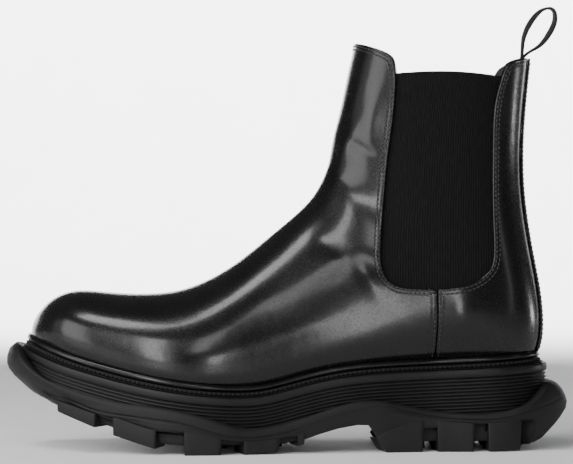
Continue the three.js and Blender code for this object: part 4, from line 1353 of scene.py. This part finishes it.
# Tread bars: front x and height, rear x and height, how far the front and the rear face lean out on
# their way up, and the height over which they do.
BLOCK_WIDTH = 24
LUGS = [
    (-127.6, 22.6, -106.2, 14.4, 1.5, 0.6, 5),
    (-95.6, 10.4, -72.2, 3.4, 2.0, 0.6, 5),
    (-55.9, 0, -36.4, 0, 1.4, 1.4, 5),
    (-22.8, 0, -5, 1, 1.4, 2.2, 5),
    (6.6, 4.2, 9.6, 4.9, 1.0, 1.2, 4),
    (56, 0, 75.5, 0, 8.4, 1.4, 13),
    (84.6, 0, 104, 0, 3.4, 1.0, 5),
    (113, 0, 130.6, 0.8, 3.4, 0.6, 5),
]


def rim_place(x, side):
    """Path point and outward direction on one side whose skirt lies at x."""
    half = slice(0, len(PATH) // 2) if side == OUTER else slice(len(PATH) // 2, len(PATH))
    rim_x = (PATH[:, 0] + PATH_OUT[:, 0] * SKIRT_REACH)[half]
    order = np.argsort(rim_x)
    base = np.column_stack([PATH[half, :2], PATH_OUT[half]])[order]
    return read_along(x, rim_x[order], base)


def lug_blocks():
    """Edge blocks on both sides of each tread bar, reaching in from the wall, and blocks down the middle.
    Each block is a closed profile in (reach, height) carried along the bar with its ends closed."""
    blocks = []
    for front_x, front_z, rear_x, rear_z, front_lean, rear_lean, run in LUGS:
        for side in (OUTER, INNER):
            blocks.append(edge_block(front_x, front_z, rear_x, rear_z, (front_lean, rear_lean, run), side))
        if rear_x - front_x > 10:
            blocks.append(middle_block(front_x, front_z, rear_x, rear_z))
    return blocks


def edge_block(front_x, front_z, rear_x, rear_z, leans, side):
    share = np.array([0, 0.015, 0.04, 0.16, 0.3, 0.5, 0.7, 0.84, 0.96, 0.985, 1])
    x = front_x + (rear_x - front_x) * share
    tread = front_z + (rear_z - front_z) * share
    root = underside(x)
    pad_top = np.minimum(PAD_TOP(x), RIDGE(x) - 1.6)
    small = np.array([0.4, 0.08] + [0] * 7 + [0.08, 0.4])
    reach_in = SKIRT_REACH - BLOCK_WIDTH
    raised = 0.3 * ease(x, 40, 60)
    profile = [
        (9.3 + raised - small, pad_top), (9.7 + raised - small, pad_top - 0.25),
        (9.8 + raised - small, pad_top - 0.7), (9.8 + raised - small, tread + 1.0),
        (9.7 + raised - small, tread + 0.5), (9.3 + raised - small, tread + 0.1 + small * 0.5),
        (7.6 - small, tread + small * 0.5),
        (reach_in + 1.2 + small, tread + small * 0.5), (reach_in + 0.3 + small, tread + 0.8),
        (reach_in - 0.5 + 0 * small, root + 1.5), (0 * small + 2, root + 2.0),
    ]
    n, z = profile_columns(profile)
    front_lean, rear_lean, run = leans
    front_up = np.clip((z - tread[:, None]) / run, 0, 1)
    rear_up = np.clip((z - tread[:, None]) / 5, 0, 1)
    front_share = np.interp(share, [0, 0.03, 0.4], [1, 0.96, 0])
    inside = 1 if run > 8 else np.clip((10.5 - n) / 8, 0.15, 1)
    lean = -front_lean * front_share[:, None] * front_up * inside
    lean += rear_lean * (share > 0.98)[:, None] * rear_up
    place = rim_place(x[:, None] + lean, side)
    xy = place[..., :2] + place[..., 2:] * n[..., None]
    grid = np.concatenate([xy, z[..., None]], axis=-1)
    if side == INNER:
        grid = grid[:, ::-1]
    return bar_faces(grid)


def middle_block(front_x, front_z, rear_x, rear_z):
    """Block on the middle line, set back half a bar from the edge blocks."""
    length = rear_x - front_x
    back = length * 0.35
    share = np.array([0, 0.04, 0.5, 0.96, 1])
    x = front_x + back * 0.4 + length * share
    slope = (rear_z - front_z) / length
    tread = np.maximum(front_z + slope * (x - front_x), 0) + 0.2
    root = underside(x)
    half = np.array([0.6, 0, 0, 0, 0.6])
    reach = 10.5
    middle = spine(x)[:, 1]
    profile = [
        (reach + 0.6 - half, root + 1.5), (reach - half, tread + 0.8),
        (reach - 0.9 - half, tread + half * 0.6), (-reach + 0.9 + half, tread + half * 0.6),
        (-reach + half, tread + 0.8), (-reach - 0.6 + half, root + 1.5),
    ]
    n, z = profile_columns(profile)
    grid = np.stack([np.broadcast_to(x[:, None], n.shape), middle[:, None] - n, z], axis=-1)
    return bar_faces(grid)


def bar_faces(grid):
    """Points, quads and triangles of a bar of rings. Each end ring is closed by strips between its two
    halves, and by one triangle where its points are odd in number."""
    rows, columns = grid.shape[:2]
    groups = [grid_faces(rows, columns, wrap_columns=True)]
    half = columns // 2
    k = np.arange(half - 1)
    strips = np.stack([k, columns - 1 - k, columns - 2 - k, k + 1], axis=1)
    tip = np.array([[half + 1, half, half - 1]])
    last = (rows - 1) * columns
    groups += [strips, turned(strips) + last]
    if columns % 2:
        groups += [tip, tip[:, ::-1] + last]
    return grid.reshape(-1, 3), *groups


# ---- operators: inside and loop --------------------------------------------------------------


class BOOT_OT_footbed(Operator):
    """Leather-covered footbed seen down the shaft"""

    bl_idname = "boot.footbed"
    bl_label = "Footbed"

    def execute(self, context):
        make_piece("footbed_cover", *footbed_mesh(), "dyed_lining_leather", replaces=["footbed"])
        return {"FINISHED"}


def footbed_mesh():
    """Slab over the insole board: across, y runs between the lining's two faces; its top rises by
    share^4 at the sides and falls by 0.9*share^40 at the very edge, which rounds it."""
    toe, heel, base, thick, rows, columns = -136.5, 130.5, 7.4, 3.2, 150, 40
    share = (1 - np.cos(np.linspace(0.0, np.pi, rows))) / 2
    x = toe + (heel - toe) * share
    height = sock_bottom(x) + base + thick / 2
    clear = WALL + 0.4
    outer = side_face(x, height, OUTER) + clear
    inner = side_face(x, height, INNER) - clear
    middle, half = (outer + inner) / 2, np.maximum((inner - outer) / 2, 0.4)
    across = np.sin(np.linspace(-np.pi / 2, np.pi / 2, columns))
    y = middle[:, None] + half[:, None] * across
    x_grid = np.broadcast_to(x[:, None], y.shape)
    under = np.broadcast_to((sock_bottom(x) + base)[:, None], y.shape)
    top = under + thick + 1.0 * across**4 - 0.9 * np.abs(across) ** 40
    points = np.vstack([np.stack([x_grid, y, z], axis=-1).reshape(-1, 3) for z in (top, under)])
    return points, [turned(sheet_faces(rows, columns))]


LOOP_PIVOT = (134.2, 223.5)
LOOP_PATH = np.array([
    (-0.1, -1.9), (0.2, 1.5), (0.9, 8.5), (3.6, 16), (8, 22.5), (13.6, 26.4), (17.4, 26.0), (18.8, 22.5),
    (15.8, 12.6), (9, 4.4), (2.6, 0.4), (0.4, -1.9),
])


class BOOT_OT_pull_loop(Operator):
    """Woven ribbon loop at the back of the topline, sewn in by its two ends"""

    bl_idname = "boot.pull_loop"
    bl_label = "Pull loop"

    def execute(self, context):
        points, faces, uv = loop_mesh()
        piece = make_piece("pull_loop_ribbon", points, faces, "woven_ribbon", body=None,
                           replaces=["pull_loop"], uv=uv)
        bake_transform(piece)
        return {"FINISHED"}


def loop_mesh():
    """Flat ribbon, 8 mm by 1.7 mm with rounded sides, carried along the loop and turned about its own
    line a little one way on the first strand and the other way on the second."""
    line = smooth_line(LOOP_PATH, 0.5) + LOOP_PIVOT
    share = np.linspace(0, 1, len(line))
    sway = 2.0 * np.sin(TAU * share) * np.sin(np.pi * share)
    path = np.column_stack([line[:, 0], sway, line[:, 1]])
    ahead = unit(np.gradient(path, axis=0))
    side = np.broadcast_to([0.0, 1.0, 0.0], path.shape)
    flat = unit(np.cross(ahead, side))
    twist = np.radians(38) * np.sin(np.pi * share) ** 2 * np.cos(np.pi * share)
    wide = side * np.cos(twist)[:, None] + flat * np.sin(twist)[:, None]
    thin = np.cross(ahead, wide)
    turn = TAU * np.arange(16) / 16
    across = 4.0 * np.sign(np.cos(turn)) * np.abs(np.cos(turn)) ** 0.5
    through = 0.85 * np.sign(np.sin(turn)) * np.abs(np.sin(turn)) ** 0.6
    grid = path[:, None] + wide[:, None] * across[None, :, None] + thin[:, None] * through[None, :, None]
    rows, columns = grid.shape[:2]
    quads = grid_faces(rows, columns, wrap_columns=True)
    uv = np.stack(np.broadcast_arrays(across[None], chord_lengths(path)[:, None]), axis=-1).reshape(-1, 2)
    first, last = np.arange(columns), (rows - 1) * columns + np.arange(columns)
    return grid.reshape(-1, 3), [quads, first[None, ::-1], last[None]], uv


# CAD pieces that stay as they are, with the finish of each.
HIDDEN_FINISHES = {
    "toe_puff": "thermoplastic_stiffener",
    "heel_counter": "thermoplastic_stiffener",
    "insole_board": "cellulose_board",
    "heel_pad": "latex_foam",
    "shank": "spring_steel",
    "bottom_filler": "ground_cork",
    "pull_loop_tail": "ribbon_tail_weave",
}


class BOOT_OT_inner_finishes(Operator):
    """Finishes of the stiffeners, board, cork, shank and foam inside the boot"""

    bl_idname = "boot.inner_finishes"
    bl_label = "Inner finishes"

    def execute(self, context):
        for name, finish in HIDDEN_FINISHES.items():
            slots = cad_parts[name].data.materials
            slots.clear()
            slots.append(finish_of(finish))
        return {"FINISHED"}


# ---- stage -----------------------------------------------------------------------------------


class BOOT_OT_stage(Operator):
    """Pale floor, soft boxes and the camera"""

    bl_idname = "boot.stage"
    bl_label = "Stage"

    def execute(self, context):
        make_floor()
        make_lights()
        make_camera()
        return {"FINISHED"}


def make_floor():
    """Floor that curves up behind the boot: flat, then a quarter circle, then upright."""
    turn = np.linspace(0, np.pi / 2, 24)
    radius, back, near, wide, tall = 0.3, 2.3, 2.6, 2.4, 0.7
    y = np.concatenate([[-near], back + radius * np.sin(turn), [back + radius]])
    z = np.concatenate([[0.0], radius - radius * np.cos(turn), [tall]])
    points = np.array([(x, py, pz) for x in (wide, -wide) for py, pz in zip(y, z)])
    mesh = bpy.data.meshes.new("studio_floor")
    mesh.from_pydata(points.tolist(), [], grid_faces(2, len(y)).tolist())
    mesh.polygons.foreach_set("use_smooth", np.ones(len(mesh.polygons), bool))
    material, tree = new_material("matt_paper")
    tone = node(tree, NOISE, Vector=node(tree, COORDINATES, "Object"), Scale=per(60), Detail=3)
    pale = tuple(sizes().floor_colour)
    darker = tuple(c * 0.97 for c in pale[:3]) + (1.0,)
    colour = node(tree, RAMP, Fac=tone, stops=((0.3, darker), (0.7, pale)))
    shader = node(tree, SHADER, Base_Color=colour, Roughness=0.9)
    node(tree, OUTPUT, Surface=shader)
    mesh.materials.append(material)
    floor = bpy.data.objects.new("studio_floor", mesh)
    bpy.context.scene.collection.objects.link(floor)


def soft_box(name, place, target, width, height, power):
    light = bpy.data.lights.new(name, "AREA")
    light.shape = "RECTANGLE"
    light.size, light.size_y = width, height
    light.energy = power
    lamp = bpy.data.objects.new(name, light)
    place, target = np.array(place, float), np.array(target, float)
    ahead = unit(target - place)
    right = unit(np.cross(ahead, (0, 0, 1.0)))
    up = np.cross(right, ahead)
    matrix = np.eye(4)
    matrix[:3, 0], matrix[:3, 1], matrix[:3, 2], matrix[:3, 3] = right, up, -ahead, place
    lamp.matrix_world = Matrix(matrix.tolist())
    bpy.context.scene.collection.objects.link(lamp)


# Soft boxes: azimuth to the right of the camera and elevation in degrees, distance, width and height
# in metres, and power in watts.
SOFT_BOXES = {
    "left_strip": (-28, 20, 1.6, 0.28, 1.35, 16.0),
    "left_wide": (-62, 16, 1.6, 0.8, 1.2, 16.0),
    "overhead_left": (-60, 64, 1.4, 0.35, 0.45, 7.0),
    "above_camera": (1, 30, 1.45, 0.24, 0.6, 3.0),
    "low_card": (12, -1, 1.35, 0.16, 0.4, 3.0),
    "toe_edge": (-86, 6, 1.5, 0.3, 1.2, 0.8),
    "heel_edge": (106, -5, 1.5, 0.26, 0.26, 5.0),
    "rear_edge": (62, 14, 1.5, 0.14, 0.9, 0.8),
}


def make_lights():
    aim = np.array([0.0, 0.0, 0.1])
    for name, (azimuth, elevation, distance, width, height, power) in SOFT_BOXES.items():
        a, e = np.radians(azimuth), np.radians(elevation)
        away = np.array([np.sin(a) * np.cos(e), -np.cos(a) * np.cos(e), np.sin(e)])
        soft_box(name, aim + distance * away, aim, width, height, power)
    soft_box("backdrop_light", (0.0, 1.5, 1.1), (0, 2.6, 0.5), 3.4, 0.6, 170)
    world = bpy.data.worlds.new("studio")
    world.use_nodes = True
    background = world.node_tree.nodes["Background"]
    background.inputs[0].default_value = (0.8, 0.82, 0.85, 1)
    background.inputs[1].default_value = 0.1
    bpy.context.scene.world = world


def make_camera():
    """Level camera straight from the outer side, 1.5 m away and 122.5 mm up."""
    camera = bpy.data.cameras.new("camera")
    camera.sensor_width = 36.0
    distance, across = 1.5, 0.3263
    camera.lens = camera.sensor_width * distance / across
    body = bpy.data.objects.new("camera", camera)
    body.location = (0.0, -distance, 0.1225)
    body.rotation_euler = (np.pi / 2, 0, 0)
    bpy.context.scene.collection.objects.link(body)
    bpy.context.scene.camera = body


# ---- add-on ----------------------------------------------------------------------------------


class BOOT_PT_panel(Panel):
    """Sizes of the boot, and a button for each of its steps"""

    bl_idname = "BOOT_PT_panel"
    bl_label = "Chelsea boot"
    bl_space_type = "VIEW_3D"
    bl_region_type = "UI"
    bl_category = "Boot"

    def draw(self, context):
        for name in BootSizes.__annotations__:
            self.layout.prop(context.scene.boot_sizes, name)
        for step in STEPS:
            self.layout.operator(step.bl_idname)


STEPS = (
    BOOT_OT_stage, BOOT_OT_vamp, BOOT_OT_quarters, BOOT_OT_back_strap, BOOT_OT_elastic, BOOT_OT_linings,
    BOOT_OT_stitches, BOOT_OT_rand_and_welt, BOOT_OT_midsole, BOOT_OT_outsole, BOOT_OT_footbed,
    BOOT_OT_pull_loop, BOOT_OT_inner_finishes,
)


def register():
    for each in (BootSizes, *STEPS, BOOT_PT_panel):
        bpy.utils.register_class(each)
    bpy.types.Scene.boot_sizes = PointerProperty(type=BootSizes)


def unregister():
    del bpy.types.Scene.boot_sizes
    for each in (BOOT_PT_panel, *reversed(STEPS), BootSizes):
        bpy.utils.unregister_class(each)


def main():
    register()
    for step in STEPS:
        name = step.bl_idname.split(".")[1]
        getattr(bpy.ops.boot, name)()


if __name__ == "__main__":
    main()
